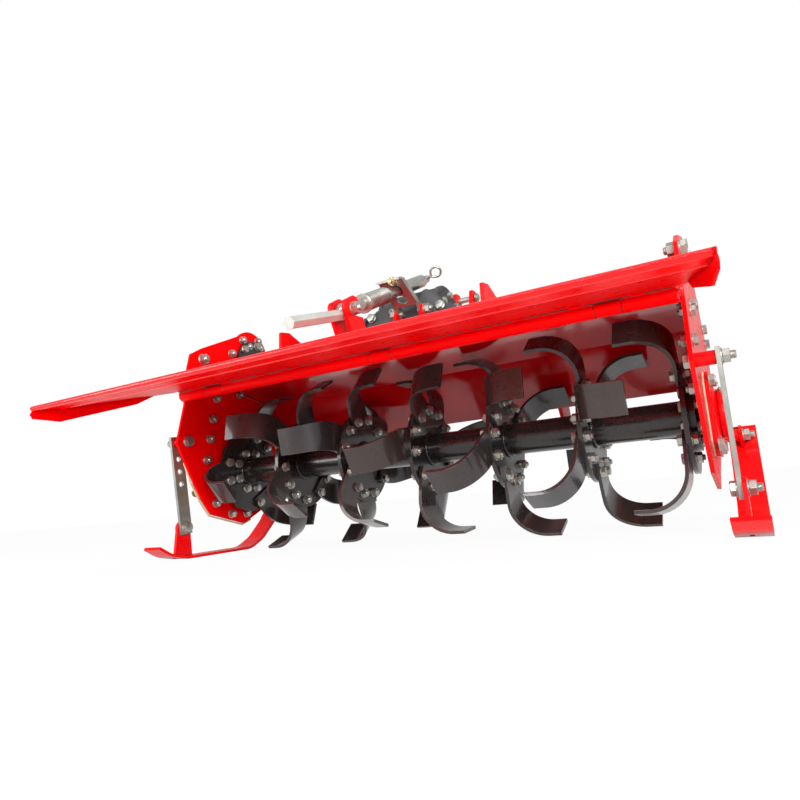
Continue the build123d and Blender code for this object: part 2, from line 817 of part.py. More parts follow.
def rod_plane(distance):
    """Plane across the spring rod, looking forward along it."""
    y, z = on_rod(distance)
    turn = radians(rod_slope)
    return Plane(origin=(rod_x, axis_y + y, axis_z + z), x_dir=(1, 0, 0),
                 z_dir=(0, cos(turn), sin(turn)))


yoke_cross = 275.0        # where the rod passes the yoke's plate
sleeve_end = 448.0
neck_end = 488.0
neck_r = 11.0
with BuildPart() as yoke:
    with BuildSketch(side(yoke_left)):
        with BuildLine():
            rim = (yoke_top[0] - yoke_rim, yoke_top[1] - 5)
            Polyline(*strip_outline([rim, yoke_top, yoke_low], yoke_t), close=True)
        make_face()
    extrude(amount=yoke_w)
    for x in (yoke_left, yoke_right - yoke_t):
        with BuildSketch(side(x)):
            with BuildLine():
                Polyline(yoke_top, yoke_low, (yoke_pivot[0] - 14, yoke_pivot[1] - 4),
                         (yoke_pivot[0], yoke_pivot[1] - 14), (yoke_pivot[0] + 12, yoke_pivot[1]),
                         (yoke_pivot[0] + 2, yoke_pivot[1] + 16), (yoke_top[0] + 50, yoke_top[1] - 12),
                         (yoke_top[0] + 12, yoke_top[1] + 8), close=True)
            make_face()
            with Locations(yoke_pivot):
                Circle(bolt_r + run_gap, mode=Mode.SUBTRACT)
        extrude(amount=yoke_t)
    with BuildSketch(rod_plane(yoke_cross - 30)):
        Circle(sleeve_r - 1)
    extrude(amount=60, mode=Mode.SUBTRACT)
    fall = degrees(atan2(yoke_low[1] - yoke_top[1], yoke_low[0] - yoke_top[0]))
    window = along(yoke_top, fall, 68)
    with BuildSketch(Plane(origin=(rod_x, axis_y + window[0], axis_z + window[1]), x_dir=(1, 0, 0),
                           z_dir=(0, -sin(radians(fall)), cos(radians(fall))))):
        Circle(window_r)
    extrude(amount=2 * yoke_t, both=True, mode=Mode.SUBTRACT)
save(yoke, "yoke")

with BuildPart() as guide_sleeve:
    with BuildSketch(rod_plane(yoke_cross - sleeve_r)):
        Circle(sleeve_r)
        Circle(rod_r + run_gap, mode=Mode.SUBTRACT)
    extrude(amount=sleeve_end - yoke_cross + sleeve_r)
    y, z = along(yoke_top, fall, 0, yoke_t)
    split(bisect_by=Plane(origin=(rod_x, axis_y + y, axis_z + z), x_dir=(1, 0, 0),
                          z_dir=(0, -sin(radians(fall)), cos(radians(fall)))), keep=Keep.TOP)
    with BuildSketch(rod_plane(sleeve_end - 6)):
        Circle(sleeve_r)
    extrude(amount=6)
    with BuildSketch(rod_plane(sleeve_end)):
        Circle(neck_r)
    extrude(amount=neck_end - sleeve_end)
save(guide_sleeve, "guide_sleeve")

lynch_wire_r = 3.0
lynch_loop = 28.0
with BuildPart() as lynch_pin:
    with BuildLine(Plane(origin=rod_plane(neck_end + lynch_wire_r + lynch_loop).origin, x_dir=(1, 0, 0),
                         z_dir=rod_plane(0).y_dir)) as loop_line:
        CenterArc((0, 0), lynch_loop, 0, 360)
    with BuildSketch(Plane(origin=loop_line.line @ 0, z_dir=loop_line.line % 0)):
        Circle(lynch_wire_r)
    sweep()
save(lynch_pin, "lynch_pin")

lug_t = 8.0
lug_gap = 0.5
lug_foot_rear = -64.0
lug_foot_front = 10.0
lug_neck = 340.0
with BuildPart() as yoke_lugs:
    for x in (yoke_left - lug_gap - lug_t, yoke_right + lug_gap):
        with BuildSketch(side(x)):
            with BuildLine():
                Polyline((lug_foot_rear, hood_top(lug_foot_rear)), (lug_foot_front, hood_top(lug_foot_front)),
                         (lug_foot_front, lug_neck),
                         (yoke_pivot[0] + 17, yoke_pivot[1]), (yoke_pivot[0] + 12, yoke_pivot[1] + 13),
                         (yoke_pivot[0], yoke_pivot[1] + 17), (yoke_pivot[0] - 12, yoke_pivot[1] + 13),
                         (yoke_pivot[0] - 18, yoke_pivot[1]), close=True)
            make_face()
            with Locations(yoke_pivot):
                Circle(bolt_r + run_gap, mode=Mode.SUBTRACT)
        extrude(amount=lug_t)
save(yoke_lugs, "yoke_lugs")

bolt_head_r = 12.0
bolt_head_t = 8.0
with BuildPart() as yoke_bolts:
    for x, way in ((yoke_left - lug_gap - lug_t, -1), (yoke_right + lug_gap + lug_t, 1)):
        with BuildSketch(side(x - way * (lug_t + lug_gap + yoke_t + 6))):
            with Locations(yoke_pivot):
                Circle(bolt_r)
        extrude(amount=way * (lug_t + lug_gap + yoke_t + 6 + bolt_head_t))
        with BuildSketch(side(x)):
            with Locations(yoke_pivot):
                RegularPolygon(bolt_head_r, 6)
        extrude(amount=way * bolt_head_t)
save(yoke_bolts, "yoke_bolts")

rod_end = 425.0
eye_half = 19.0
collar_at = 87.0
collar_l = 17.0
collar_r = 24.0
spring_l = 104.0
spring_turns = 12
spring_r = 21.5
with BuildPart() as spring_rod:
    with BuildSketch(rod_plane(0)):
        Circle(rod_r)
    extrude(amount=rod_end)
    with BuildSketch(side(rod_x - ear_gap / 2 + face_gap)):
        with Locations(rod_pin):
            Circle(eye_half)
    extrude(amount=ear_gap - 2 * face_gap)
    with BuildSketch(side(rod_x - ear_gap / 2)):
        with Locations(rod_pin):
            Circle(rod_pin_r + run_gap)
    extrude(amount=ear_gap, mode=Mode.SUBTRACT)
    for distance in (236, 256):
        with BuildSketch(Plane(origin=rod_plane(distance).origin, x_dir=(1, 0, 0),
                               z_dir=rod_plane(distance).y_dir)):
            Circle(4)
        extrude(amount=2 * rod_r, both=True, mode=Mode.SUBTRACT)
save(spring_rod, "spring_rod")

with BuildPart() as rod_collars:
    for distance in (collar_at, collar_at + collar_l + spring_l):
        with BuildSketch(rod_plane(distance)):
            Circle(collar_r if distance == collar_at else rod_r + 4)
            Circle(rod_r + run_gap, mode=Mode.SUBTRACT)
        extrude(amount=collar_l if distance == collar_at else 6)
save(rod_collars, "rod_collars")

# The spring's outline, coil by coil
with BuildPart() as spring:
    pitch = spring_l / spring_turns
    with BuildSketch(rod_plane(collar_at + collar_l)):
        Circle(spring_r - 1)
        Circle(rod_r + 0.6, mode=Mode.SUBTRACT)
    extrude(amount=spring_l)
    for turn in range(spring_turns):
        with BuildSketch(rod_plane(collar_at + collar_l + (turn + 0.25) * pitch)):
            Circle(spring_r)
            Circle(rod_r + 0.6, mode=Mode.SUBTRACT)
        extrude(amount=pitch / 2)
save(spring, "spring")

tail_r = 14.0
tail_from = (-349.0, 296.0)
tail_to = (-540.0, 239.0)
with BuildPart() as rod_tail:
    run = hypot(tail_to[0] - tail_from[0], tail_to[1] - tail_from[1])
    with BuildSketch(Plane(origin=(rod_x, axis_y + tail_to[0], axis_z + tail_to[1]), x_dir=(1, 0, 0),
                           z_dir=(0, tail_from[0] - tail_to[0], tail_from[1] - tail_to[1]))):
        RegularPolygon(tail_r, 6)
    extrude(amount=run + 10)
    with BuildSketch(side(rod_x - ear_gap / 2)):
        with Locations(rod_pin):
            Circle(eye_half + 0.2)
    extrude(amount=ear_gap, mode=Mode.SUBTRACT)
save(rod_tail, "rod_tail")

with BuildPart() as rod_pin_bolt:
    end = ear_gap / 2 + clevis_t + face_gap
    with BuildSketch(side(rod_x - end - bolt_head_t)):
        with Locations(rod_pin):
            Circle(rod_pin_r)
    extrude(amount=2 * end + 2 * bolt_head_t + 4)
    for x in (rod_x - end - bolt_head_t, rod_x + end):
        with BuildSketch(side(x)):
            with Locations(rod_pin):
                RegularPolygon(bolt_head_r, 6)
        extrude(amount=bolt_head_t)
save(rod_pin_bolt, "rod_pin_bolt")

# ---------------------------------------------------------------- skids, straps and their bolts
skid_flat_rear = -200.0
skid_flat_front = 60.0
skid_path = [(-300, 36 - axis_z), (-258, 12 - axis_z), (skid_flat_rear, -axis_z), (skid_flat_front, -axis_z),
             (118, -213), (175, -165), (skid_pivot[0] + 30, -62), (skid_pivot[0] + 24, -16)]
skid_bend_r = 100.0
lug_x = strap_in + strap_t
skid_lug_t = 8.0
spacer_r = 13.5

for name, hand in (("skid_left", -1), ("skid_right", 1)):
    with BuildPart() as skid:
        with BuildSketch(side(hand * skid_in)):
            with BuildLine():
                FilletPolyline(*skid_path, radius=skid_bend_r)
                offset(amount=skid_t, side=Side.LEFT)
            make_face()
        extrude(amount=hand * skid_w)
        with BuildSketch(side(hand * lug_x)):
            with BuildLine():
                Polyline((strap_low[0] - 38, skid_t / 2 - axis_z), (strap_low[0] + 26, skid_t / 2 - axis_z),
                         (strap_low[0] + 20, strap_low[1] + 12), (strap_low[0] + 8, strap_low[1] + 20),
                         (strap_low[0] - 14, strap_low[1] + 20), (strap_low[0] - 24, strap_low[1] + 10),
                         close=True)
            make_face()
            with BuildLine():
                y, z = skid_pivot
                Polyline((y + 24, z - 40), (y - 2, z - 24), (y - 18, z - 12), (y - 22, z + 4), (y - 12, z + 20),
                         (y + 6, z + 24), (y + 22, z + 22), close=True)
            make_face()
            with Locations(strap_low, skid_pivot):
                Circle(bolt_r + run_gap, mode=Mode.SUBTRACT)
        extrude(amount=hand * skid_lug_t)
    save(skid, name)

strap_slope = degrees(atan2(strap_top[1] - strap_low[1], strap_top[0] - strap_low[0]))
strap_l = hypot(strap_top[1] - strap_low[1], strap_top[0] - strap_low[0])
strap_holes = 3
strap_end = 18.0          # metal past the end holes
strap_pitch = 36.0
for name, hand in (("strap_left", -1), ("strap_right", 1)):
    with BuildPart() as strap:
        with BuildSketch(side(hand * strap_in)):
            middle = along(strap_low, strap_slope, strap_l / 2)
            with Locations(Location((middle[0], middle[1]), strap_slope)):
                Rectangle(strap_l + 2 * strap_end, strap_w)
            with Locations(*[along(strap_top, strap_slope + 180, strap_pitch * (place + 0.3))
                             for place in range(1, strap_holes + 1)]):
                Circle(bolt_r, mode=Mode.SUBTRACT)
            with Locations(strap_low, strap_top):
                Circle(bolt_r + run_gap, mode=Mode.SUBTRACT)
        extrude(amount=hand * strap_t)
    save(strap, name)

with BuildPart() as skid_spacers:
    for hand in (-1, 1):
        for place, end, radius in ((strap_top, strap_in, spacer_r), (skid_pivot, lug_x, pivot_tube_r)):
            with BuildSketch(side(hand * plate_out)):
                with Locations(place):
                    Circle(radius)
                    Circle(bolt_r + run_gap, mode=Mode.SUBTRACT)
            extrude(amount=hand * (end - plate_out))
save(skid_spacers, "skid_spacers")

nut_t = 12.0
with BuildPart() as skid_bolts:
    for hand in (-1, 1):
        rows = ((strap_top, plate_in, lug_x), (skid_pivot, plate_in, lug_x + skid_lug_t),
                (strap_low, strap_in, lug_x + skid_lug_t))
        for place, inner, outer in rows:
            with BuildSketch(side(hand * (inner - bolt_head_t))):
                with Locations(place):
                    Circle(bolt_r - run_gap)
            extrude(amount=hand * (outer + nut_t - inner + bolt_head_t))
            for start, depth in ((inner - bolt_head_t, bolt_head_t), (outer, nut_t)):
                with BuildSketch(side(hand * start)):
                    with Locations(place):
                        RegularPolygon(bolt_head_r, 6)
                extrude(amount=hand * depth)
save(skid_bolts, "skid_bolts")
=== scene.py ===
import bpy
import random
from math import cos, pi, radians, sin
from mathutils import Matrix, Vector


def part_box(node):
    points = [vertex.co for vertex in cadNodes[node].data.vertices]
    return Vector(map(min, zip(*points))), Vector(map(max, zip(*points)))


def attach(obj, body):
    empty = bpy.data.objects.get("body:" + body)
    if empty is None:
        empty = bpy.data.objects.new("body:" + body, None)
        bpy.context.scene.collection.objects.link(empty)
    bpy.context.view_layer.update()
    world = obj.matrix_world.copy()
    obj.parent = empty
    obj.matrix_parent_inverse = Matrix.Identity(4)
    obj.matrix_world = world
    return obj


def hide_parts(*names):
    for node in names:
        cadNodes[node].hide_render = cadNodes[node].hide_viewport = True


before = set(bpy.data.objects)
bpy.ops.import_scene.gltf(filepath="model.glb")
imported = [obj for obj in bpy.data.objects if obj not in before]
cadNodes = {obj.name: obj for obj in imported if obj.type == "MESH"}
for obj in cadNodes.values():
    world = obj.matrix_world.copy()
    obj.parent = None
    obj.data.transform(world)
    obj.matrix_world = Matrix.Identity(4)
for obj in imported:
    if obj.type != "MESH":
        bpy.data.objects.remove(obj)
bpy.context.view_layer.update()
mm = 0.001
random.seed(7)
print("loaded", len(cadNodes), "frame nodes")

# The rotor's middle line is what every spot below is given from, in millimetres:
# across the machine, forward of the rotor and above it.
tubeLow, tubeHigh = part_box("rotor_tube")
axisY = (tubeLow.y + tubeHigh.y) / 2
axisZ = (tubeLow.z + tubeHigh.z) / 2


def spot(x, forward, above):
    return Vector((x * mm, axisY + forward * mm, axisZ + above * mm))


# Every finish is a node material with colour drift, grain, worn edges and, where given, painted shade: colour
# darkened in hollows by ambient occlusion.
surface = dict(samples=4, hollowShadeReach=18.0, ior=1.5, roughScale=25.0)


def makeFinish(name, look):
    finish = bpy.data.materials.new(name)
    finish.use_nodes = True
    tree = finish.node_tree
    tree.nodes.clear()
    add = tree.nodes.new
    link = tree.links.new
    out = add("ShaderNodeOutputMaterial")
    shader = add("ShaderNodeBsdfPrincipled")
    link(shader.outputs["BSDF"], out.inputs["Surface"])
    place = add("ShaderNodeTexCoord")

    def noise(scale, detail=3.0, rough=0.5, stretch=None):
        tex = add("ShaderNodeTexNoise")
        tex.inputs["Scale"].default_value = scale
        tex.inputs["Detail"].default_value = detail
        tex.inputs["Roughness"].default_value = rough
        if stretch:
            mapping = add("ShaderNodeMapping")
            mapping.inputs["Scale"].default_value = stretch
            link(place.outputs["Object"], mapping.inputs["Vector"])
            link(mapping.outputs["Vector"], tex.inputs["Vector"])
        else:
            link(place.outputs["Object"], tex.inputs["Vector"])
        return tex.outputs["Fac"]

    def spread(value, fromLow, fromHigh, toLow, toHigh):
        ramp = add("ShaderNodeMapRange")
        ramp.inputs["From Min"].default_value = fromLow
        ramp.inputs["From Max"].default_value = fromHigh
        ramp.inputs["To Min"].default_value = toLow
        ramp.inputs["To Max"].default_value = toHigh
        link(value, ramp.inputs["Value"])
        return ramp.outputs["Result"]

    def blend(amount, first, second):
        mix = add("ShaderNodeMix")
        mix.data_type = "RGBA"
        link(amount, mix.inputs["Factor"])
        for index, colour in ((6, first), (7, second)):
            if isinstance(colour, tuple):
                mix.inputs[index].default_value = colour + (1.0,)
            else:
                link(colour, mix.inputs[index])
        return mix.outputs[2]

    def times(first, second):
        math = add("ShaderNodeMath")
        math.operation = "MULTIPLY"
        link(first, math.inputs[0])
        if isinstance(second, float):
            math.inputs[1].default_value = second
        else:
            link(second, math.inputs[1])
        return math.outputs[0]

    patches = spread(noise(look["patchScale"], 2.0), 0.35, 0.65, 0.0, 1.0)
    colour = blend(patches, look["tone"], look["toneTwo"])
    grain = noise(look["grainScale"], 4.0, 0.6, look.get("grainStretch"))
    if "fleck" in look:
        colour = blend(spread(grain, 0.5, 0.75, 0.0, look["fleckAmount"]), colour, look["fleck"])

    # a softened normal gives the edges their light, and shows where paint wears off
    softEdge = add("ShaderNodeBevel")
    softEdge.samples = surface["samples"]
    softEdge.inputs["Radius"].default_value = look.get("edge", 1.2) * mm
    if "wear" in look:
        flat = add("ShaderNodeNewGeometry")
        dot = add("ShaderNodeVectorMath")
        dot.operation = "DOT_PRODUCT"
        link(softEdge.outputs["Normal"], dot.inputs[0])
        link(flat.outputs["Normal"], dot.inputs[1])
        edge = spread(dot.outputs["Value"], 0.99, 0.80, 0.0, 1.0)
        patchy = spread(noise(look.get("wearScale", 60.0), 3.0), 0.42, 0.62, 0.0, look["wearAmount"])
        colour = blend(times(edge, patchy), colour, look["wear"])
    # painted shade: the colour darkens towards the shade colour in hollows and narrow gaps, as ambient
    # occlusion finds them
    if "hollowShade" in look:
        hollow = add("ShaderNodeAmbientOcclusion")
        hollow.samples = surface["samples"]
        hollow.inputs["Distance"].default_value = surface["hollowShadeReach"] * mm
        shadeMask = spread(hollow.outputs["AO"], 0.75, 0.25, 0.0, look["hollowShadeAmount"])
        colour = blend(shadeMask, colour, look["hollowShade"])
    link(colour, shader.inputs["Base Color"])

    lowRough, highRough = look["rough"]
    link(spread(noise(surface["roughScale"], 3.0), 0.3, 0.7, lowRough, highRough),
         shader.inputs["Roughness"])
    shader.inputs["Metallic"].default_value = look.get("metal", 0.0)
    shader.inputs["Coat Weight"].default_value = look.get("coat", 0.0)
    shader.inputs["Coat Roughness"].default_value = look.get("coatRough", 0.05)
    shader.inputs["IOR"].default_value = surface["ior"]
    shader.inputs["Specular IOR Level"].default_value = look.get("gloss", 0.5)

    normal = softEdge.outputs["Normal"]
    for scale, height in look["bumps"]:
        bump = add("ShaderNodeBump")
        bump.inputs["Strength"].default_value = 1.0
        bump.inputs["Distance"].default_value = height * mm
        link(noise(scale, 3.0), bump.inputs["Height"])
        link(normal, bump.inputs["Normal"])
        normal = bump.outputs["Normal"]
    link(normal, shader.inputs["Normal"])
    return finish


# The red paint comes in copies: the first below is its plain tone; the tailboard's, left plate's and hood
# ears' copy is made lighter, painted light for their shaded undersides; the hood's copy is made darker,
# painted shade.
redGloss = makeFinish("redGloss", dict(
    tone=(0.80, 0.0008, 0.0014), toneTwo=(0.66, 0.0006, 0.002), patchScale=3.0,
    grainScale=220.0, rough=(0.22, 0.34), gloss=0.12, coat=0.05, coatRough=0.04,
    edge=1.6, hollowShade=(0.14, 0.001, 0.003), hollowShadeAmount=0.6,
    bumps=[(70.0, 0.004), (9.0, 0.04)]))
redPaintLit = makeFinish("redPaintLit", dict(
    tone=(0.94, 0.0006, 0.0012), toneTwo=(0.82, 0.0005, 0.002), patchScale=3.0,
    grainScale=220.0, rough=(0.26, 0.36), gloss=0.03, coat=0.01, coatRough=0.05, edge=2.0,
    hollowShade=(0.16, 0.001, 0.003), hollowShadeAmount=0.7,
    bumps=[(70.0, 0.004), (9.0, 0.04)]))
# the lip's rolled edge: a glossier copy of the red paint at the same lighter tone, painted light
redBead = makeFinish("redBead", dict(
    tone=(0.94, 0.0010, 0.0020), toneTwo=(0.86, 0.0008, 0.0020), patchScale=6.0,
    grainScale=220.0, rough=(0.16, 0.22), gloss=0.25, coat=0.25, coatRough=0.02, edge=1.0,
    bumps=[(6.0, 0.01)]))
redPaintShaded = makeFinish("redPaintShaded", dict(
    tone=(0.62, 0.0010, 0.004), toneTwo=(0.50, 0.0008, 0.004), patchScale=4.0,
    grainScale=220.0, rough=(0.10, 0.20), gloss=0.5, coat=0.25, coatRough=0.03,
    edge=1.6, hollowShade=(0.12, 0.001, 0.003), hollowShadeAmount=0.6,
    bumps=[(60.0, 0.02), (7.0, 0.16)]))
blackEnamel = makeFinish("blackEnamel", dict(
    tone=(0.010, 0.009, 0.009), toneTwo=(0.022, 0.015, 0.013), patchScale=7.0,
    grainScale=160.0, fleck=(0.07, 0.06, 0.055), fleckAmount=0.2,
    wear=(0.30, 0.25, 0.20), wearAmount=0.7, wearScale=50.0,
    rough=(0.20, 0.32), gloss=0.4, coat=0.35, coatRough=0.06, edge=1.4,
    bumps=[(90.0, 0.008), (14.0, 0.05)]))
# the first tone's brown is partly the enamel's own and partly a painted reflection of the red hood; the
# second tone is a dark blue-grey
bladeEnamel = makeFinish("bladeEnamel", dict(
    tone=(0.034, 0.021, 0.017), toneTwo=(0.019, 0.018, 0.021), patchScale=4.0,
    grainScale=180.0, fleck=(0.08, 0.062, 0.052), fleckAmount=0.2,
    wear=(0.42, 0.37, 0.32), wearAmount=0.8, wearScale=45.0,
    rough=(0.24, 0.36), gloss=0.35, coat=0.45, coatRough=0.09, edge=1.4,
    bumps=[(90.0, 0.006), (14.0, 0.05)]))
roughCasting = makeFinish("roughCasting", dict(
    tone=(0.030, 0.031, 0.034), toneTwo=(0.05, 0.05, 0.052), patchScale=12.0,
    grainScale=300.0, fleck=(0.10, 0.10, 0.10), fleckAmount=0.3,
    rough=(0.45, 0.7), edge=3.0, bumps=[(260.0, 0.5), (60.0, 0.9)]))
zincPlate = makeFinish("zincPlate", dict(
    tone=(0.47, 0.465, 0.42), toneTwo=(0.38, 0.38, 0.345), patchScale=30.0,
    grainScale=400.0, fleck=(0.34, 0.31, 0.25), fleckAmount=0.5,
    metal=0.85, rough=(0.26, 0.42), edge=0.6, bumps=[(500.0, 0.03)]))
# its painted shade in the hollows darkens the lines between the coils
springSteel = makeFinish("springSteel", dict(
    tone=(0.36, 0.35, 0.33), toneTwo=(0.26, 0.255, 0.24), patchScale=26.0,
    grainScale=300.0, fleck=(0.20, 0.18, 0.15), fleckAmount=0.4, hollowShade=(0.03, 0.025, 0.02), hollowShadeAmount=0.9,
    metal=0.9, rough=(0.26, 0.38), edge=0.5, bumps=[(400.0, 0.02)]))
dullZinc = makeFinish("dullZinc", dict(
    tone=(0.47, 0.50, 0.46), toneTwo=(0.38, 0.42, 0.39), patchScale=16.0,
    grainScale=260.0, grainStretch=(1.0, 0.2, 0.2), fleck=(0.32, 0.33, 0.29), fleckAmount=0.5,
    metal=0.12, rough=(0.34, 0.48), edge=0.9, bumps=[(300.0, 0.02)]))
yellowZinc = makeFinish("yellowZinc", dict(
    tone=(0.60, 0.46, 0.20), toneTwo=(0.52, 0.42, 0.26), patchScale=40.0,
    grainScale=400.0, metal=1.0, rough=(0.22, 0.4), edge=0.6, bumps=[(500.0, 0.03)]))
greyStrap = makeFinish("greyStrap", dict(
    tone=(0.32, 0.325, 0.29), toneTwo=(0.235, 0.245, 0.22), patchScale=22.0,
    grainScale=60.0, grainStretch=(8.0, 1.0, 1.0), fleck=(0.20, 0.20, 0.18), fleckAmount=0.6,
    metal=0.7, rough=(0.3, 0.55), edge=0.8, bumps=[(300.0, 0.06), (40.0, 0.1)]))
bareSteel = makeFinish("bareSteel", dict(
    hollowShade=(0.05, 0.045, 0.04), hollowShadeAmount=0.9,
    tone=(0.62, 0.61, 0.58), toneTwo=(0.50, 0.49, 0.47), patchScale=18.0,
    grainScale=250.0, fleck=(0.36, 0.34, 0.30), fleckAmount=0.4,
    metal=1.0, rough=(0.2, 0.38), edge=0.6, bumps=[(350.0, 0.04)]))
brassTone = makeFinish("brassTone", dict(
    tone=(0.55, 0.36, 0.10), toneTwo=(0.42, 0.27, 0.08), patchScale=50.0,
    grainScale=300.0, metal=1.0, rough=(0.25, 0.45), edge=0.6, bumps=[(400.0, 0.04)]))
creamFibre = makeFinish("creamFibre", dict(
    tone=(0.62, 0.55, 0.38), toneTwo=(0.50, 0.43, 0.28), patchScale=40.0,
    grainScale=500.0, fleck=(0.35, 0.28, 0.17), fleckAmount=0.5,
    rough=(0.7, 0.9), edge=0.4, bumps=[(600.0, 0.1)]))
blackPlastic = makeFinish("blackPlastic", dict(
    tone=(0.014, 0.014, 0.015), toneTwo=(0.022, 0.022, 0.023), patchScale=10.0,
    grainScale=300.0, rough=(0.35, 0.5), edge=1.0, bumps=[(700.0, 0.06)]))
print("finishes ready")

nodeFinish = {
    redPaintLit: ["tailboard", "side_plate_left", "hood_ears"],
    redGloss: ["hood_gussets", "side_plate_right", "board_clevis", "front_beam", "link_brackets", "mast",
               "mast_braces", "gearbox_seat", "side_case", "bearing_housing", "skid_left", "skid_right",
               "skid_spacers", "yoke_lugs"],
    redPaintShaded: ["hood"],
    blackEnamel: ["rotor_tube", "rotor_flanges", "bearing_disc", "drive_tube"],
    bladeEnamel: ["blades_left", "blades_right"],
    roughCasting: ["gearbox"],
    zincPlate: ["link_pins", "top_pin", "skid_bolts", "yoke_bolts", "rod_pin_bolt", "rod_collars",
                "hinge_pin", "lynch_pin", "yoke"],
    dullZinc: ["rod_tail"],
    greyStrap: ["strap_left", "strap_right"],
    bareSteel: ["spring_rod", "spring", "guide_sleeve", "pto_stub"],
    creamFibre: ["case_gasket", "bearing_gasket"],
    blackPlastic: ["pto_guard"],
}
for finish, names in nodeFinish.items():
    for name in names:
        for place in cadNodes[name].material_slots:
            place.material = finish


# A part is a list of points and a list of faces.
def loopsToPart(loops, closed=False):
    count = len(loops[0])
    points = [Vector(point) for loop in loops for point in loop]
    faces = []
    for row in range(len(loops) - 1):
        for i in range(count):
            j = (i + 1) % count
            faces.append((row * count + i, row * count + j, (row + 1) * count + j, (row + 1) * count + i))
    if not closed:
        faces.append(tuple(reversed(range(count))))
        faces.append(tuple(range((len(loops) - 1) * count, len(loops) * count)))
    return points, faces


def turned(profile, count=24):
    return loopsToPart([[(r * cos(2 * pi * i / count), r * sin(2 * pi * i / count), z)
                         for i in range(count)] for r, z in profile])


def turnedMm(profile, count=24):
    return turned([(r * mm, z * mm) for r, z in profile], count)


def hexagon(across, low, high, chamferLow=False):
    # across the flats, with the turned chamfer a real bolt head has
    half = across / 2
    crown = half * 0.95

    def reach(i):
        return half / cos(((pi * i / 12 + pi / 6) % (pi / 3)) - pi / 6)

    def ring(radius, height):
        return [(radius(i) * cos(pi * i / 12), radius(i) * sin(pi * i / 12), height(i)) for i in range(24)]

    slope = 0.5
    loops = []
    if chamferLow:
        loops.append(ring(lambda i: crown, lambda i: low))
        loops.append(ring(reach, lambda i: low + (reach(i) - crown) * slope))
    else:
        loops.append(ring(reach, lambda i: low))
    loops.append(ring(reach, lambda i: high - (reach(i) - crown) * slope))
    loops.append(ring(lambda i: crown, lambda i: high))
    return loopsToPart(loops)


def moved(part, matrix):
    return [matrix @ point for point in part[0]], part[1]


def joined(parts):
    points, faces = [], []
    for partPoints, partFaces in parts:
        start = len(points)
        points.extend(partPoints)
        faces.extend(tuple(start + index for index in face) for face in partFaces)
    return points, faces


def makePiece(name, parts, body, finish, sharp=32.0):
    points, faces = joined(parts)
    mesh = bpy.data.meshes.new(name)
    mesh.from_pydata(points, [], faces)
    mesh.validate()
    mesh.shade_smooth()
    mesh.set_sharp_from_angle(angle=radians(sharp))
    piece = bpy.data.objects.new(name, mesh)
    bpy.context.scene.collection.objects.link(piece)
    mesh.materials.append(finish)
    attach(piece, body)
    return piece


def facing(place, direction, spin=0.0):
    turn = Vector(direction).to_track_quat("Z", "Y").to_matrix().to_4x4()
    return Matrix.Translation(place) @ turn @ Matrix.Rotation(spin, 4, "Z")


# Bolts and nuts are sized by the thread's diameter in metres, and all else is a share of it.
fastener = dict(washer=0.16, washerRim=0.12, washerTop=0.95, across=1.6, head=0.64, nut=0.8)


def washerPart(size):
    return turned([(size * 1.0, 0.0), (size * 1.0, size * fastener["washerRim"]),
                   (size * fastener["washerTop"], size * fastener["washer"])])


def boltHead(size):
    base = size * fastener["washer"]
    return joined([washerPart(size),
                   hexagon(size * fastener["across"], base, base + size * fastener["head"])])


def nutEnd(size, out=0.35):
    # out is how far the thread stands past the nut
    base = size * fastener["washer"]
    parts = [washerPart(size),
             hexagon(size * fastener["across"], base, base + size * fastener["nut"], chamferLow=True)]
    thread = [(size * 0.5, base + size * 0.5)]
    height = base + size * fastener["nut"]
    while height < base + size * (fastener["nut"] + out):
        thread.append((size * 0.5, height))
        thread.append((size * 0.45, height + size * 0.06))
        height += size * 0.12
    thread.append((size * 0.38, height + size * 0.03))
    parts.append(turned(thread, 16))
    return joined(parts)


def scattered(part, places):
    return [moved(part, facing(place, direction, random.uniform(0, pi / 3))) for place, direction in places]


def along(points, step):
    # the same line with a point every step metres or so
    path = [points[0]]
    for start, end in zip(points, points[1:]):
        parts = max(1, round((end - start).length / step))
        path += [start + (end - start) * k / parts for k in range(1, parts + 1)]
    return path


def bead(path, outward, radius, closed=False):
    # a weld with the overlapping ripples that a stick leaves
    loops = []
    count = 8
    total = 0.0
    for index, point in enumerate(path):
        after = path[(index + 1) % len(path)] if closed or index < len(path) - 1 else point
        before = path[index - 1] if closed or index > 0 else point
        heading = (after - before).normalized()
        lift = outward(point).normalized()
        across = heading.cross(lift).normalized()
        total += (after - point).length
        wave = abs(sin(pi * total / weld["ripple"]))
        size = radius * (0.82 + 0.18 * wave + weld["lumps"] * (random.random() - 0.5))
        loops.append([point + (across * cos(2 * pi * k / count) + lift * sin(2 * pi * k / count)) * size
                      for k in range(count)])
    if closed:
        loops.append(loops[0])
        return loopsToPart(loops, closed=True)
    return loopsToPart(loops)


weld = dict(ripple=3.2 * mm, lumps=0.11, step=2.4 * mm)


def weldRun(points, lift, radius):
    return bead(along(points, weld["step"]), lambda point: Vector(lift), radius * mm)


def smoothTube(path, outward, radius, count=12, closed=False):
    loops = []
    for index, point in enumerate(path):
        after = path[(index + 1) % len(path)] if closed else path[min(index + 1, len(path) - 1)]
        before = path[index - 1] if closed else path[max(index - 1, 0)]
        heading = (after - before).normalized()
        lift = outward(point).normalized()
        across = heading.cross(lift).normalized()
        loops.append([point + (across * cos(2 * pi * k / count) + lift * sin(2 * pi * k / count)) * radius
                      for k in range(count)])
    if closed:
        loops.append(loops[0])
        return loopsToPart(loops, closed=True)
    return loopsToPart(loops)


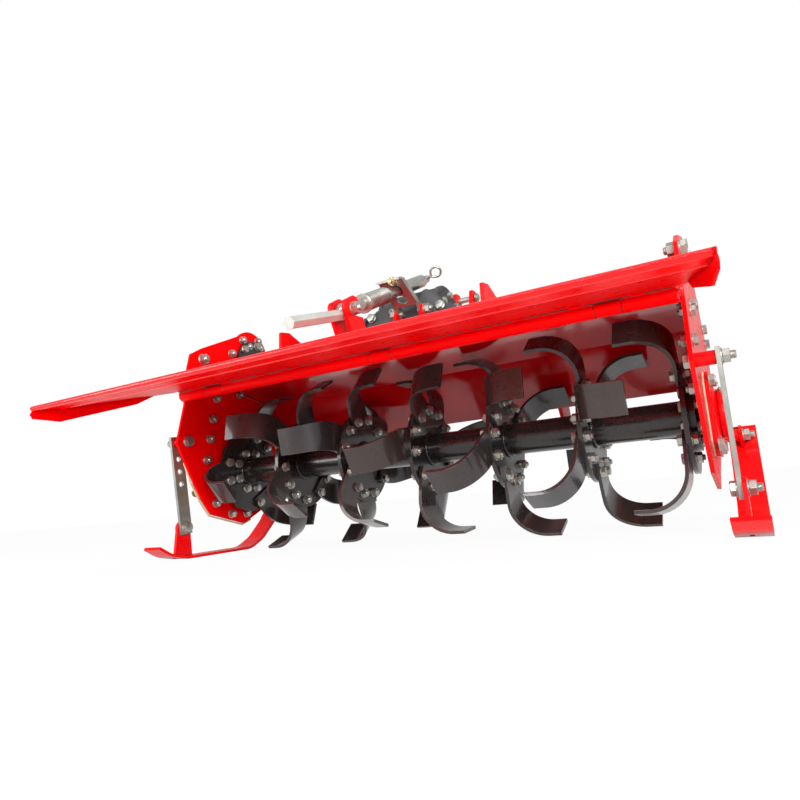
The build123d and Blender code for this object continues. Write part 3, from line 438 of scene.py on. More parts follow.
# Bolts and nuts of the rotor
rotor = dict(flanges=7, pitch=210.0, flangeThick=10.0, bladeThick=8.0, firstPhase=-29.0, phaseStep=18.5,
             handShift=53.0, bladeBoltRadius=102.0, bladeBoltSpread=15.0, hubBoltRadius=57.0, hubBolts=8,
             boltSize=13.0, hubDiscThick=12.0, hubFirst=22.5, bladesAHand=3,
             weldRadius=5.0, weldOut=1.5, weldSteps=110)
halfFlange = rotor["flangeThick"] / 2
lastFlange = rotor["flanges"] - 1
flangePlaces = [(index - lastFlange / 2) * rotor["pitch"] for index in range(rotor["flanges"])]


def onRotor(x, radius, angle):
    # the angle is from straight up, turning towards the rear, as the blades are set
    return spot(x, -radius * sin(radians(angle)), radius * cos(radians(angle)))


heads, nuts, hubNuts = [], [], []
for index, middle in enumerate(flangePlaces):
    phase = rotor["firstPhase"] + rotor["phaseStep"] * index
    for hand in (1, -1):
        if (hand > 0 and index == lastFlange) or (hand < 0 and index == 0):
            continue
        for turn in range(rotor["bladesAHand"]):
            for side in (-1, 1):
                angle = phase + 360 / rotor["bladesAHand"] * turn + (0 if hand > 0 else rotor["handShift"])
                angle += side * rotor["bladeBoltSpread"]
                bladeFace = middle + hand * (halfFlange + rotor["bladeThick"])
                heads.append((onRotor(bladeFace, rotor["bladeBoltRadius"], angle), (hand, 0, 0)))
                nuts.append((onRotor(middle - hand * halfFlange, rotor["bladeBoltRadius"], angle),
                             (-hand, 0, 0)))
    if index in (0, lastFlange):
        inward = 1 if index == 0 else -1
        for turn in range(rotor["hubBolts"]):
            angle = rotor["hubFirst"] + 360 / rotor["hubBolts"] * turn
            heads.append((onRotor(middle + inward * halfFlange, rotor["hubBoltRadius"], angle),
                          (inward, 0, 0)))
            hubNuts.append((onRotor(middle - inward * (halfFlange + rotor["hubDiscThick"]),
                                    rotor["hubBoltRadius"], angle), (-inward, 0, 0)))
size = rotor["boltSize"] * mm
makePiece("rotorBoltHeads", scattered(boltHead(size), heads), "rotor", zincPlate)
# the hub's bolts end flush with their nuts, clear of the side plates
makePiece("rotorNuts", scattered(nutEnd(size), nuts) + scattered(nutEnd(size, out=0.0), hubNuts),
          "rotor", zincPlate)
print("rotor bolts:", len(heads))

# Weld beads round the tube, on both sides of every flange
rings = []
tubeRadius = (tubeHigh.z - tubeLow.z) / 2 / mm
for index, middle in enumerate(flangePlaces):
    for side in (-1, 1):
        if (index == 0 and side < 0) or (index == lastFlange and side > 0):
            continue
        x = middle + side * (halfFlange + rotor["weldOut"])
        steps = rotor["weldSteps"]
        path = [onRotor(x, tubeRadius + rotor["weldOut"], 360 * k / steps) for k in range(steps)]
        centre = spot(x, 0, 0)
        rings.append(bead(path, lambda point, centre=centre: point - centre,
                          rotor["weldRadius"] * mm, closed=True))
makePiece("rotorWelds", rings, "rotor", blackEnamel, sharp=80)
print("rotor welds:", len(rings))

# Bolts of the side plates: nuts inside, heads on the rim of the drive case or on the plate outside
plate = dict(inner=662.0, thick=8.0, boltSize=13.0, bigBolt=17.0, rimFace=681.0,
             left=[(-97, 224), (4, 245), (-117, 160), (-131, 99), (-145, 36), (-116, -90), (-54, -125),
                   (11, -127), (28, 428), (101, 436), (-24, 375), (56, 411), (108, 414)],
             rimBolts=[(-117, 160), (-131, 99), (-145, 36), (-116, -90), (-54, -125), (11, -127), (28, 428),
                       (-24, 375), (92, -88), (118, 20), (124, 120), (130, 220), (130, 320), (112, 412),
                       (-104, 230), (-66, 306)],
             leftBig=[(-146, 338)],
             right=[(-193, 132), (-120, 205), (-97, 224), (4, 245), (240, 60), (-182, 40), (-40, 372),
                    (60, 376)],
             rightOutside=[(284, 204), (252, 236), (-193, 132), (-120, 205), (-97, 224), (4, 245), (240, 60),
                           (-40, 372), (60, 376)],
             rightBig=[(-150, 330)])
outerFace = plate["inner"] + plate["thick"]
small, big = nutEnd(plate["boltSize"] * mm), nutEnd(plate["bigBolt"] * mm)
smallHead, bigHead = boltHead(plate["boltSize"] * mm), boltHead(plate["bigBolt"] * mm)
parts = scattered(small, [(spot(-plate["inner"], y, z), (1, 0, 0)) for y, z in plate["left"]])
parts += scattered(big, [(spot(-plate["inner"], y, z), (1, 0, 0)) for y, z in plate["leftBig"]])
parts += scattered(smallHead, [(spot(-plate["rimFace"], y, z), (-1, 0, 0)) for y, z in plate["rimBolts"]])
parts += scattered(bigHead, [(spot(-outerFace, y, z), (-1, 0, 0)) for y, z in plate["leftBig"]])
makePiece("plateBoltsLeft", parts, "frame", zincPlate)
parts = scattered(small, [(spot(plate["inner"], y, z), (-1, 0, 0)) for y, z in plate["right"]])
parts += scattered(big, [(spot(plate["inner"], y, z), (-1, 0, 0)) for y, z in plate["rightBig"]])
parts += scattered(smallHead, [(spot(outerFace, y, z), (1, 0, 0)) for y, z in plate["rightOutside"]])
parts += scattered(bigHead, [(spot(outerFace, y, z), (1, 0, 0)) for y, z in plate["rightBig"]])
makePiece("plateBoltsRight", parts, "frame", zincPlate)
print("side plates bolted")

# Bolts of the disc that carries the cross shaft
disc = dict(face=652.0, forward=72.0, above=356.0, radius=60.0, bolts=6, size=13.0, firstTurn=0.3)
parts = []
for k in range(disc["bolts"]):
    angle = 2 * pi * (k + disc["firstTurn"]) / disc["bolts"]
    place = spot(-disc["face"], disc["forward"] + disc["radius"] * cos(angle),
                 disc["above"] + disc["radius"] * sin(angle))
    parts += scattered(boltHead(disc["size"] * mm), [(place, (1, 0, 0))])
makePiece("discBolts", parts, "frame", zincPlate)

# Cap and plugs of the side drive case
case = dict(face=735.0, bossOut=6.0, plugAcross=19, plugLow=4, plugHigh=15,
            capProfile=[(48, 0), (48, 3), (42, 5), (34, 5.5), (31, 4), (20, 4), (16, 6)],
            plugProfile=[(13, 0), (13, 3), (12, 4)],
            plugs=[((-690.0, -157.0, -55.0), (0, -1, -0.3)), ((-735.0, 20.0, 140.0), (-1, 0, 0)),
                   ((-735.0, 60.0, 330.0), (-1, 0, 0))])      # place, way out
cap = turnedMm(case["capProfile"], 48)
makePiece("caseCap", [moved(cap, facing(spot(-case["face"] - case["bossOut"], 0, 0), (-1, 0, 0)))],
          "frame", redGloss)
plugPart = joined([turnedMm(case["plugProfile"]),
                   hexagon(case["plugAcross"] * mm, case["plugLow"] * mm, case["plugHigh"] * mm)])
makePiece("casePlugs", [moved(plugPart, facing(spot(*place), way)) for place, way in case["plugs"]],
          "frame", brassTone)
print("drive case dressed")

# Bolts, grease nipple and flared cover of the right-hand rotor bearing
bearing = dict(cover=681.0, bolts=[(-76, 66), (0, 72), (76, 66), (76, -66), (0, -74), (-76, -66)], size=14.0,
               nipplePlace=(697.0, -24, 43), nippleWay=(0, -0.5, 0.87),
               nipple=[(5, 0), (5, 3), (3, 4), (3, 7), (4, 8.5), (3.4, 11), (1.6, 12)],
               flare=[(64, 0), (62, 2), (54, 5), (48, 10), (46, 15), (45, 23), (20, 23.5)],
               rim=[(52.5, 9), (53, 12), (53, 21), (51, 24.5), (44, 25.5), (30, 25.5), (28, 24)])
parts = scattered(boltHead(bearing["size"] * mm),
                  [(spot(bearing["cover"], y, z), (1, 0, 0)) for y, z in bearing["bolts"]])
parts.append(moved(turnedMm(bearing["nipple"], 16),
                   facing(spot(*bearing["nipplePlace"]), bearing["nippleWay"])))
makePiece("bearingBolts", parts, "frame", zincPlate)
makePiece("bearingFlare", [moved(turnedMm(bearing[name], 64), facing(spot(bearing["cover"], 0, 0), (1, 0, 0)))
                           for name in ("flare", "rim")], "frame", redGloss)

# Spring on the rod
rod = dict(x=-20.0, pinForward=-335.0, pinAbove=309.0, slope=23.4, springFrom=104.0, springLong=104.0,
           turns=11.5, wire=2.9, radius=18.6, steps=30)


def onRod(distance, across=0.0, side=0.0):
    turn = radians(rod["slope"])
    return spot(rod["x"] + side, rod["pinForward"] + cos(turn) * distance - sin(turn) * across,
                rod["pinAbove"] + sin(turn) * distance + cos(turn) * across)


rodStart = onRod(0)
rodLine = (onRod(100) - rodStart).normalized()
rodUp = (onRod(0, 100) - rodStart).normalized()


def fromRod(point):
    return (point - rodStart) - rodLine * (point - rodStart).dot(rodLine)


coil = []
total = int(rod["turns"] * rod["steps"])
for k in range(total + 1):
    angle = 2 * pi * k / rod["steps"]
    rise = rod["springFrom"] + rod["wire"] + (rod["springLong"] - 2 * rod["wire"]) * k / total
    coil.append(onRod(rise, rod["radius"] * cos(angle), rod["radius"] * sin(angle)))
spring = makePiece("coilSpring", [smoothTube(coil, fromRod, rod["wire"] * mm)],
                   "rod", springSteel, 60)
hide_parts("spring")
print("spring wound")

# Collars of the rod, with the sawn cut and chamfers of turned rings
collars = dict(first=87.0, firstLong=17.0, firstRadius=24.0, firstShare=0.42, restShare=0.5, restStep=2.5,
               second=208.0, secondLong=6.0, secondRadius=19.0, bore=15.1, chamfer=1.4)


def ringOnRod(start, length, radius, bore, count=40):
    chamfer = collars["chamfer"]
    loops = [[onRod(distance, r * cos(2 * pi * k / count), r * sin(2 * pi * k / count)) for k in range(count)]
             for distance, r in ((start, bore), (start, radius - chamfer), (start + chamfer, radius),
                                 (start + length - chamfer, radius), (start + length, radius - chamfer),
                                 (start + length, bore), (start, bore))]
    return loopsToPart(loops, closed=True)


firstLong, restLong = (collars["firstLong"] * collars[share] for share in ("firstShare", "restShare"))
rings = [ringOnRod(collars["first"], firstLong, collars["firstRadius"], collars["bore"]),
         ringOnRod(collars["first"] + restLong, restLong, collars["firstRadius"] - collars["restStep"],
                   collars["bore"]),
         ringOnRod(collars["second"], collars["secondLong"], collars["secondRadius"], collars["bore"])]
# painted shade: thin black discs on the rod stand for the dark inside of its two cross holes
holeShade = dict(distances=(222.0, 236.0), profile=[(3.2, 0), (3.2, 0.5)], across=-7.0, side=13.35,
             lean=(0.88, 0.47))
sideways, down = holeShade["lean"]
makePiece("rodHoleShade", [moved(turnedMm(holeShade["profile"], 20),
                             facing(onRod(distance, holeShade["across"], holeShade["side"]),
                                    Vector((sideways, 0, 0)) - rodUp * down))
                       for distance in holeShade["distances"]], "rod", blackPlastic)
collarPiece = makePiece("rodCollars", rings, "rod", zincPlate)
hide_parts("rod_collars")


def plainPin(radius, length):
    return turnedMm([(radius, 0), (radius, length)], 32)


# The pin bolt through the clevis
clevis = dict(gap=30.0, thick=8.0, faceGap=0.5, pinSize=16.0, shank=7.9, threadOut=0.3,
              headSpin=0.3, nutSpin=0.5)
reach = clevis["gap"] / 2 + clevis["thick"] + clevis["faceGap"]
pinPlace = (rod["pinForward"], rod["pinAbove"])
shank = plainPin(clevis["shank"], 2 * reach)
parts = [moved(shank, facing(spot(rod["x"] - reach, *pinPlace), (1, 0, 0))),
         moved(boltHead(clevis["pinSize"] * mm),
               facing(spot(rod["x"] - reach, *pinPlace), (-1, 0, 0), clevis["headSpin"])),
         moved(nutEnd(clevis["pinSize"] * mm, out=clevis["threadOut"]),
               facing(spot(rod["x"] + reach, *pinPlace), (1, 0, 0), clevis["nutSpin"]))]
pinPiece = makePiece("rodPinBolt", parts, "rod", zincPlate)
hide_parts("rod_pin_bolt")

# Yoke: its two pivot bolts and the yellow nut that is welded to its plate
yoke = dict(half=35.0, lugGap=0.5, lugThick=8.0, cheek=6.0, pivot=(-5.0, 377.0), size=16.0,
            shank=7.9, pinInset=6, threadOut=0.3, spin=0.2, nutDistance=250.0, nutAcross=27.0, nutSide=12.0,
            nutSize=12.0, nutOut=0.5, nutLean=0.2)
parts = []
for way in (-1, 1):
    outer = rod["x"] + way * (yoke["half"] + yoke["lugGap"] + yoke["lugThick"])
    inner = rod["x"] + way * (yoke["half"] - yoke["cheek"] - yoke["pinInset"])
    pin = plainPin(yoke["shank"], abs(outer - inner))
    parts.append(moved(pin, facing(spot(inner, *yoke["pivot"]), (way, 0, 0))))
    parts.append(moved(nutEnd(yoke["size"] * mm, out=yoke["threadOut"]),
                       facing(spot(outer, *yoke["pivot"]), (way, 0, 0), yoke["spin"])))
pivotPiece = makePiece("yokePivotBolts", parts, "frame", zincPlate)
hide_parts("yoke_bolts")
place = onRod(yoke["nutDistance"], yoke["nutAcross"], yoke["nutSide"])
makePiece("yokeNut", [moved(nutEnd(yoke["nutSize"] * mm, out=yoke["nutOut"]),
                            facing(place, -rodLine + rodUp * yoke["nutLean"]))],
          "yoke", yellowZinc)

# Lynch pin: a ring of wire, its stem through the sleeve's neck
lynch = dict(distance=470.0, stem=4.0, stemFrom=-19.0, stemTo=21.0, ringAt=484.0, ringSide=34.0, ringUp=13.0,
             wire=3.4, ringLong=34.0, ringWide=30.0, lean=0.35, pinTilt=0.3, ringTilt=0.25, pinch=0.5,
             linkFrom=0.6, steps=48)
centre = onRod(lynch["distance"])
pinWay = (Vector((1, 0, 0)) + rodUp * lynch["pinTilt"]).normalized()
stem = smoothTube([centre + pinWay * lynch["stemFrom"] * mm, centre + pinWay * lynch["stemTo"] * mm],
                  lambda point: rodLine, lynch["stem"] * mm, 16)
ringMiddle = onRod(lynch["ringAt"], lynch["ringUp"], lynch["ringSide"])
ringLine = (pinWay + rodUp * lynch["ringTilt"]).normalized()
ringUp = (rodUp * cos(lynch["lean"]) - rodLine * sin(lynch["lean"])).normalized()
ringUp = (ringUp - ringLine * ringUp.dot(ringLine)).normalized()
ringPath = []
for k in range(lynch["steps"]):
    angle = 2 * pi * k / lynch["steps"]
    pinch = 1 - lynch["pinch"] * max(0.0, -cos(angle)) ** 2      # the end at the stem is narrower
    ringPath.append(ringMiddle + ringLine * cos(angle) * lynch["ringLong"] / 2 * mm
                    + ringUp * sin(angle) * lynch["ringWide"] / 2 * pinch * mm)
link = smoothTube([centre + pinWay * lynch["stemTo"] * lynch["linkFrom"] * mm,
                   ringMiddle - ringLine * lynch["ringLong"] / 2 * mm],
                  lambda point: rodUp, lynch["wire"] * mm, 12)
ringNormal = ringLine.cross(ringUp)
ring = smoothTube(ringPath, lambda point: ringNormal, lynch["wire"] * mm, closed=True)
lynchPiece = makePiece("lynchRing", [stem, link, ring], "yoke", zincPlate, 60)
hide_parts("lynch_pin")
print("rod dressed")

# Bolts of the skids and their straps
skid = dict(plateIn=662.0, strapIn=706.0, strapThick=8.0, lugThick=8.0, size=16.0,
            strapTop=(-214.0, 89.0), strapLow=(-189.0, -153.0), pivot=(232.0, -38.0), shank=7.9,
            threadOut=0.5, headSpin=0.25, nutSpin=0.6)
parts = []
strapOut = skid["strapIn"] + skid["strapThick"]
for hand in (-1, 1):
    for spotPlace, inner, outer in ((skid["strapTop"], skid["plateIn"], strapOut),
                                    (skid["pivot"], skid["plateIn"], strapOut + skid["lugThick"]),
                                    (skid["strapLow"], skid["strapIn"], strapOut + skid["lugThick"])):
        pin = plainPin(skid["shank"], outer - inner)
        parts.append(moved(pin, facing(spot(hand * inner, *spotPlace), (hand, 0, 0))))
        parts.append(moved(boltHead(skid["size"] * mm),
                           facing(spot(hand * inner, *spotPlace), (-hand, 0, 0), skid["headSpin"])))
        parts.append(moved(nutEnd(skid["size"] * mm, out=skid["threadOut"]),
                           facing(spot(hand * outer, *spotPlace), (hand, 0, 0), skid["nutSpin"])))
skidPiece = makePiece("skidBolts", parts, "frame", zincPlate)
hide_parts("skid_bolts")
print("skids bolted")

# Gearbox: the cast body with its shoulders, a bolted cap at each end, plugs and a breather
gear = dict(forward=93.0, above=384.0, radius=74.0, rear=16.0, front=150.0, round=11.0, left=-130.0,
            right=36.0, coverRight=54.0, boltSize=11.0, faceGrow=1.2, coverBolts=6, coverBoltRadius=46,
            plugWay=(0, -1, 0.15),
            ringPlug=(-89.0, 396.0), leftBolt=(-157.0, 392.0), rightBolt=(60.0, 384.0),
            tubeCover=(-202, 72, 356), breatherPlace=(-110, 110, 418),
            bossProfile=[(15, 0), (14, 4), (13, 5)],
            bandOut=3, bandEdge=9, bandLong=12, bandIn=8,
            ringProfile=[(8.5, 0), (8.5, 6), (7.5, 7), (5, 7), (4.8, 2), (1, 1.6)],
            breatherProfile=[(9, 0), (9, 8), (6, 9), (6, 14), (11, 16), (11, 24), (8, 27), (2, 28)])
gearOutline = [(-178, 300), (-180, 374), (-168, 396), (-147, 411), (-112, 421), (-78, 428), (-60, 420),
               (-50, 408), (4, 408), (10, 430), (18, 443), (30, 438), (54, 412), (70, 390), (75, 374),
               (74, 300)]


def insetOutline(outline, inset):
    middle = Vector((sum(x for x, z in outline) / len(outline), sum(z for x, z in outline) / len(outline)))
    return [Vector(point) + (middle - Vector(point)).normalized() * inset for point in outline]


loops = []
for forward, inset in ((gear["rear"], gear["round"]), (gear["rear"] + 3, gear["round"] * 0.45),
                       (gear["rear"] + 8, gear["round"] * 0.1), (gear["rear"] + 14, 0),
                       (gear["front"] - 14, 0),
                       (gear["front"] - 4, gear["round"] * 0.4), (gear["front"], gear["round"])):
    loops.append([spot(point.x, forward, point.y) for point in insetOutline(gearOutline, inset)])
body = loopsToPart(loops)

parts = [body]
for x, way in ((gear["left"], -1), (gear["right"], 1)):
    rimRadius = gear["radius"] + gear["bandOut"]
    band = turnedMm([(rimRadius, 0), (rimRadius, gear["bandEdge"]), (gear["radius"], gear["bandLong"]),
                     (gear["radius"] - gear["bandIn"], gear["bandLong"])], 64)
    parts.append(moved(band, facing(spot(x - way * 2, gear["forward"], gear["above"]), (way, 0, 0))))
boss = turnedMm(gear["bossProfile"], 32)
for x, above in (gear["ringPlug"], gear["leftBolt"], gear["rightBolt"]):
    parts.append(moved(boss, facing(spot(x, gear["rear"] + 4, above), gear["plugWay"])))
makePiece("gearboxBody", parts, "frame", roughCasting, 45)
parts = []
for x, above in (gear["leftBolt"], gear["rightBolt"]):
    parts += scattered(boltHead(gear["boltSize"] * gear["faceGrow"] * mm),
                       [(spot(x, gear["rear"] - 1, above), gear["plugWay"])])
tubeX, tubeForward, tubeAbove = gear["tubeCover"]
for k in range(gear["coverBolts"]):
    angle = 2 * pi * (k + 0.5) / gear["coverBolts"]
    ahead, rise = gear["coverBoltRadius"] * cos(angle), gear["coverBoltRadius"] * sin(angle)
    parts += scattered(boltHead(gear["boltSize"] * mm),
                       [(spot(gear["coverRight"], gear["forward"] + ahead, gear["above"] + rise), (1, 0, 0)),
                        (spot(tubeX, tubeForward + ahead, tubeAbove + rise), (-1, 0, 0))])
makePiece("gearboxBolts", parts, "frame", zincPlate)
plugX, plugAbove = gear["ringPlug"]
ringPlug, breather = turnedMm(gear["ringProfile"], 32), turnedMm(gear["breatherProfile"], 32)
makePiece("gearboxPlugs", [moved(ringPlug, facing(spot(plugX, gear["rear"] - 1, plugAbove), gear["plugWay"])),
                           moved(breather, facing(spot(*gear["breatherPlace"]), (0, 0, 1)))],
          "frame", zincPlate)
print("gearbox dressed")

# Welds of the hood, its gussets and lugs, and of the linkage
shell = dict(half=659.5, path=[(244.6, 88.1), (149.9, 222.2), (-168.0, 281.7), (-216.0, 229.7)], radius=3.6,
             insideScale=0.988, outsideScale=1.03, outsideIn=5, gussetX=279.0, gussetHalf=5.5,
             skinRear=(-170.5, 288.2), skinFold=(153.8, 227.4), gussetFront=-60.0, gussetRear=4,
             skinLift=0.5, thinRadius=3.2, lugWelds=(-65.0, -54.0, 14.0, 25.0), lugRear=-64, lugFront=10)


def onSkin(x, y):
    # a spot just clear of the hood's sloping top
    rear, fold = shell["skinRear"], shell["skinFold"]
    top = rear[1] + (fold[1] - rear[1]) * (y - rear[0]) / (fold[0] - rear[0])
    return spot(x, y, top + shell["skinLift"])


runs = []
for hand in (-1, 1):
    inside = [(y * shell["insideScale"], z * shell["insideScale"]) for y, z in shell["path"]]
    runs.append(weldRun([spot(hand * shell["half"], y, z) for y, z in inside],
                        (-hand, 0, -0.5), shell["radius"]))
    outside = [(y * shell["outsideScale"], z * shell["outsideScale"]) for y, z in shell["path"][:2]]
    runs.append(weldRun([spot(hand * (shell["half"] - shell["outsideIn"]), y, z) for y, z in outside],
                        (-hand, 0, 0.5), shell["radius"]))
    for side in (-1, 1):
        x = hand * shell["gussetX"] + side * shell["gussetHalf"]
        runs.append(weldRun([onSkin(x, shell["gussetFront"]),
                             onSkin(x, shell["skinRear"][0] + shell["gussetRear"])],
                            (side, 0, 0.8), shell["thinRadius"]))
for x in shell["lugWelds"]:
    runs.append(weldRun([onSkin(x, shell["lugRear"]), onSkin(x, shell["lugFront"])],
                        (0, 0, 1), shell["thinRadius"]))
makePiece("hoodWelds", runs, "frame", redGloss, 80)

beam = dict(forward=292.0, above=146.0, half=33.0, shoulder=341.5, bracket=10.0, gap=46.0, short=4, out=1,
            mastX=168.0, mastHalf=7.0, mastLift=0.5, radius=3.4, endRadius=3.6)
low, high = beam["above"] - beam["half"], beam["above"] + beam["half"]
rear, front = beam["forward"] - beam["half"], beam["forward"] + beam["half"]
runs = []
for hand in (-1, 1):
    for inboard in (0.0, beam["bracket"], beam["bracket"] + beam["gap"], 2 * beam["bracket"] + beam["gap"]):
        x = hand * (beam["shoulder"] - inboard)
        runs.append(weldRun([spot(x, rear + beam["short"], low - beam["out"]),
                             spot(x, front - beam["short"], low - beam["out"])], (0, 0, -1), beam["radius"]))
        runs.append(weldRun([spot(x, front + beam["out"], low + beam["short"]),
                             spot(x, front + beam["out"], high - beam["short"])], (0, 1, 0), beam["radius"]))
    for side in (-1, 1):
        x = hand * beam["mastX"] + side * beam["mastHalf"]
        runs.append(weldRun([spot(x, rear + beam["short"], high + beam["mastLift"]),
                             spot(x, front - beam["short"], high + beam["mastLift"])],
                            (0, 0, 1), beam["radius"]))
    end = [spot(hand * (plate["inner"] - 1), beam["forward"] + beam["half"] * dy,
                beam["above"] + beam["half"] * dz)
           for dy, dz in ((-1, -0.8), (-1, 0.8), (-0.8, 1), (0.8, 1), (1, 0.8), (1, -0.8), (0.8, -1),
                          (-0.8, -1), (-1, -0.8))]
    runs.append(weldRun(end, (-hand, 0, 0.01), beam["endRadius"]))
makePiece("beamWelds", runs, "frame", redGloss, 80)
print("frame welds:", len(runs))

# Tailboard: the welds of its front edge, a black line painted along that edge as its shadow, the rolled edge
# of its lip, the clevis welds
board = dict(hinge=(-225.0, 219.0), knuckles=[-531.0, 7.0, 531.0], knuckleClear=52.0, edgeRadius=22.6,
             edgeAngle=158.0, stitchFrom=-590.0, stitchStep=118.0, stitchCount=11, stitchHalf=13.0,
             stitchRadius=2.9, shadowLine=(-248.2, 227.4), shadowLineRadius=1.5, shadowLineHalf=655.0, shadowLineGap=1, shadowLineStep=30,
             lip=(-621.0, 160.4), lipRadius=6.2, lipHalf=733.0, fold=(-555.0, 167.4), foldRadius=5.0,
             foldHalf=724.0, lipStep=60, clevisX=(-44.5, 4.5), clevisRear=(-331, 216.8),
             clevisFront=(-262, 231.2), clevisRadius=3.2)
edge = (board["hinge"][0] + board["edgeRadius"] * cos(radians(board["edgeAngle"])),
        board["hinge"][1] + board["edgeRadius"] * sin(radians(board["edgeAngle"])))
runs = []
for k in range(board["stitchCount"]):
    x = board["stitchFrom"] + board["stitchStep"] * k
    if min(abs(x - middle) for middle in board["knuckles"]) < board["knuckleClear"]:
        continue
    runs.append(weldRun([spot(x - board["stitchHalf"], *edge), spot(x + board["stitchHalf"], *edge)],
                        (0, -0.3, -1), board["stitchRadius"]))
makePiece("boardStitches", runs, "tailboard", redPaintLit, 80)
# painted shadow: thin black tubes along the board's front edge, between the stitches, where that edge's
# shadow line falls
shadowLines = []
stops = [-board["shadowLineHalf"]]
for k in range(board["stitchCount"]):
    x = board["stitchFrom"] + board["stitchStep"] * k
    stops += [x - board["stitchHalf"] - board["shadowLineGap"], x + board["stitchHalf"] + board["shadowLineGap"]]
stops.append(board["shadowLineHalf"])
for start, end in zip(stops[::2], stops[1::2]):
    line = along([spot(start, *board["shadowLine"]), spot(end, *board["shadowLine"])], board["shadowLineStep"] * mm)
    shadowLines.append(smoothTube(line, lambda point: Vector((0, 0, 1)), board["shadowLineRadius"] * mm, 10))
makePiece("boardShadowLine", shadowLines, "tailboard", blackPlastic, 60)
beads = []
for place, radius, half in ((board["lip"], board["lipRadius"], board["lipHalf"]),
                            (board["fold"], board["foldRadius"], board["foldHalf"])):
    line = along([spot(-half, *place), spot(half, *place)], board["lipStep"] * mm)
    beads.append(smoothTube(line, lambda point: Vector((0, 0, 1)), radius * mm, 24))
makePiece("boardLip", beads, "tailboard", redBead, 80)
runs = []
for x in board["clevisX"]:
    runs.append(weldRun([spot(x, *board["clevisRear"]), spot(x, *board["clevisFront"])], (0, -0.2, 1),
                        board["clevisRadius"]))
makePiece("clevisWelds", runs, "tailboard", redGloss, 80)
print("tailboard dressed")

# Skin of the hinge barrel's fixed lengths in the lighter copy of the red paint, painted light over the hood's
# darker barrel
barrel = dict(radius=17.4, half=659.0, clear=1.5, bore=11, round=1, knuckleHalves=(26.0, 25.0, 26.0))
edges = [-barrel["half"]]
for middle, reach in zip(board["knuckles"], barrel["knuckleHalves"]):
    edges += [middle - reach - barrel["clear"], middle + reach + barrel["clear"]]
edges.append(barrel["half"])
parts = []
for start, end in zip(edges[::2], edges[1::2]):
    length = end - start
    shoulder = barrel["radius"] - barrel["round"]
    skin = turnedMm([(barrel["bore"], 0), (shoulder, 0), (barrel["radius"], barrel["round"]),
                     (barrel["radius"], length - barrel["round"]), (shoulder, length),
                     (barrel["bore"], length)], 48)
    parts.append(moved(skin, facing(spot(start, *board["hinge"]), (1, 0, 0))))
makePiece("barrelSkin", parts, "frame", redPaintLit, 50)

# Ring of the right-hand bearing inside the plate, and the gasket's squeezed-out rim on the left
seat = dict(thick=12, profile=[(24, 0), (37, 0), (43, 3), (43, 12)])
makePiece("bearingSeat", [moved(turnedMm(seat["profile"], 64),
                                facing(spot(plate["inner"] - seat["thick"], 0, 0), (1, 0, 0)))],
          "frame", redGloss)
gasket = dict(x=-672.5, radius=2.6, step=12,
              path=[(-222, 28), (-197, -34), (-167, -85), (-135, -125.5), (1, -160.5), (40, -148)])
line = along([spot(gasket["x"], y, z) for y, z in gasket["path"]], gasket["step"] * mm)
makePiece("gasketRim", [smoothTube(line, lambda point: Vector((1, 0, 0)), gasket["radius"] * mm, 10)],
          "frame", creamFibre, 60)

# Drive guard: the raised rims of its moulding
guard = dict(x=-30.0, above=372.0, radius=84.0, rims=[208.0, 290.0, 249.0], lift=0.2, rimRadius=2.2, steps=72)
parts = []
rimAt, steps = guard["radius"] + guard["lift"], guard["steps"]
for y in guard["rims"]:
    path = [spot(guard["x"] + rimAt * cos(2 * pi * k / steps), y,
                 guard["above"] + rimAt * sin(2 * pi * k / steps))
            for k in range(steps)]
    centre = spot(guard["x"], y, guard["above"])
    parts.append(smoothTube(path, lambda point, centre=centre: point - centre, guard["rimRadius"] * mm,
                            8, closed=True))
makePiece("guardRims", parts, "frame", blackPlastic, 60)
print("guard dressed")

# Floor, lights and camera
studio = dict(floorHalf=30.0, floorGlow=0.95, floorTone=0.85, worldLight=0.62, lampAim=(0, 0.1, 0.35))
lamps = dict(keyLamp=((1.9, -2.4, 1.0), (1.8, 1.1), 106.0),       # place, size, power
             fillLamp=((-2.2, -2.4, 0.9), (1.4, 1.4), 45.0),
             topLamp=((0.3, -1.2, 3.0), (2.4, 0.5), 14.0),
             stripLamp=((0.3, -2.7, 1.9), (3.2, 0.10), 34.0))
floorMesh = bpy.data.meshes.new("studioFloor")
half = studio["floorHalf"]
floorMesh.from_pydata([(-half, -half, 0), (half, -half, 0), (half, half, 0), (-half, half, 0)],
                        [], [(0, 1, 2, 3)])
floor = bpy.data.objects.new("studioFloor", floorMesh)
bpy.context.scene.collection.objects.link(floor)
floorFinish = bpy.data.materials.new("paleFloor")
floorFinish.use_nodes = True
tree = floorFinish.node_tree
tree.nodes.clear()
out = tree.nodes.new("ShaderNodeOutputMaterial")
matt = tree.nodes.new("ShaderNodeBsdfDiffuse")
matt.inputs["Color"].default_value = (studio["floorTone"], studio["floorTone"], studio["floorTone"], 1)
glow = tree.nodes.new("ShaderNodeEmission")
glow.inputs["Strength"].default_value = 1.0
rays = tree.nodes.new("ShaderNodeLightPath")
share = tree.nodes.new("ShaderNodeMath")
share.operation = "MULTIPLY"
share.inputs[1].default_value = studio["floorGlow"]
seen = tree.nodes.new("ShaderNodeMath")
seen.operation = "MAXIMUM"
tree.links.new(rays.outputs["Is Camera Ray"], seen.inputs[0])
tree.links.new(rays.outputs["Is Glossy Ray"], seen.inputs[1])
tree.links.new(seen.outputs[0], share.inputs[0])
mixer = tree.nodes.new("ShaderNodeMixShader")
tree.links.new(share.outputs[0], mixer.inputs["Fac"])
tree.links.new(matt.outputs["BSDF"], mixer.inputs[1])
tree.links.new(glow.outputs["Emission"], mixer.inputs[2])
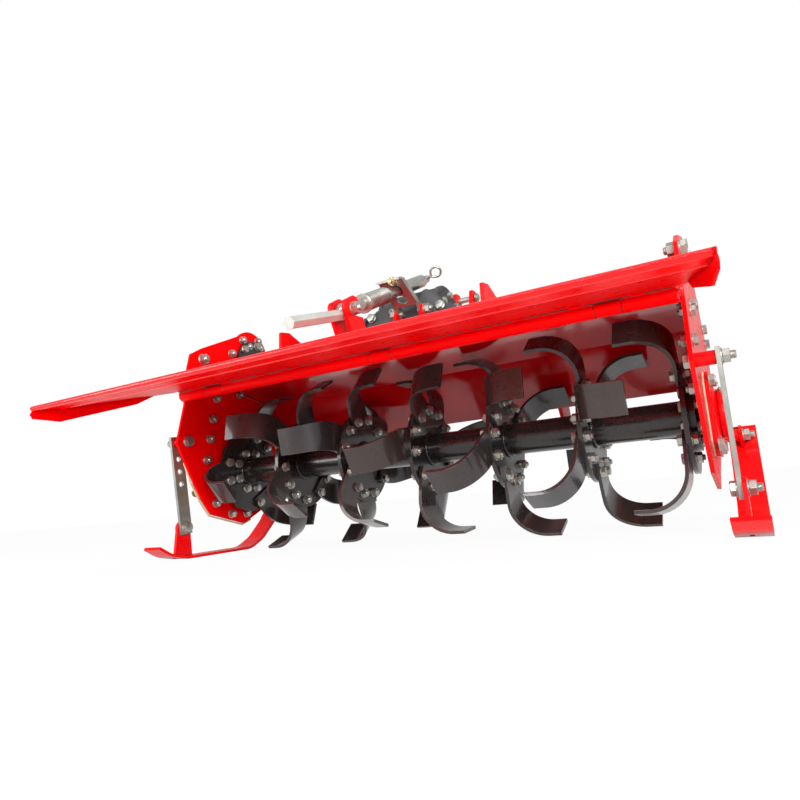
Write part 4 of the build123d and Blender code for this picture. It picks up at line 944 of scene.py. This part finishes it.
tree.links.new(mixer.outputs["Shader"], out.inputs["Surface"])
floorMesh.materials.append(floorFinish)

world = bpy.data.worlds.new("studioWorld")
bpy.context.scene.world = world
world.use_nodes = True
tree = world.node_tree
tree.nodes.clear()
out = tree.nodes.new("ShaderNodeOutputWorld")
light = tree.nodes.new("ShaderNodeBackground")
light.inputs["Color"].default_value = (1, 1, 1, 1)
rays = tree.nodes.new("ShaderNodeLightPath")
seen = tree.nodes.new("ShaderNodeMath")
seen.operation = "MAXIMUM"
tree.links.new(rays.outputs["Is Camera Ray"], seen.inputs[0])
tree.links.new(rays.outputs["Is Transmission Ray"], seen.inputs[1])
level = tree.nodes.new("ShaderNodeMapRange")
level.inputs["To Min"].default_value = studio["worldLight"]
level.inputs["To Max"].default_value = 1.0
tree.links.new(seen.outputs[0], level.inputs["Value"])
tree.links.new(level.outputs["Result"], light.inputs["Strength"])
tree.links.new(light.outputs["Background"], out.inputs["Surface"])


def softLamp(name, place, aim, size, power):
    data = bpy.data.lights.new(name, "AREA")
    data.shape = "RECTANGLE"
    data.size, data.size_y = size
    data.energy = power
    lamp = bpy.data.objects.new(name, data)
    bpy.context.scene.collection.objects.link(lamp)
    lamp.matrix_world = facing(Vector(place), Vector(place) - Vector(aim))
    return lamp


for name, (place, size, power) in lamps.items():
    softLamp(name, place, studio["lampAim"], size, power)

view = dict(place=(0.7462, -1.3928, 0.1228), aim=(-0.2002, 0.3437, 0.4210), roll=4.811, lens=28.8,
            sensor=36.0, nearest=0.01)
cameraData = bpy.data.cameras.new("studioCamera")
cameraData.lens = view["lens"]
cameraData.sensor_width = view["sensor"]
cameraData.clip_start = view["nearest"]
camera = bpy.data.objects.new("studioCamera", cameraData)
bpy.context.scene.collection.objects.link(camera)
forward = (Vector(view["aim"]) - Vector(view["place"])).normalized()
right = forward.cross(Vector((0, 0, 1))).normalized()
up = right.cross(forward)
roll = radians(view["roll"])
upTilted = up * cos(roll) + right * sin(roll)
rightTilted = right * cos(roll) - up * sin(roll)
camera.matrix_world = Matrix((
    (rightTilted.x, upTilted.x, -forward.x, view["place"][0]),
    (rightTilted.y, upTilted.y, -forward.y, view["place"][1]),
    (rightTilted.z, upTilted.z, -forward.z, view["place"][2]),
    (0, 0, 0, 1)))
bpy.context.scene.camera = camera
bpy.context.scene.view_settings.view_transform = "Standard"
print("stage set")
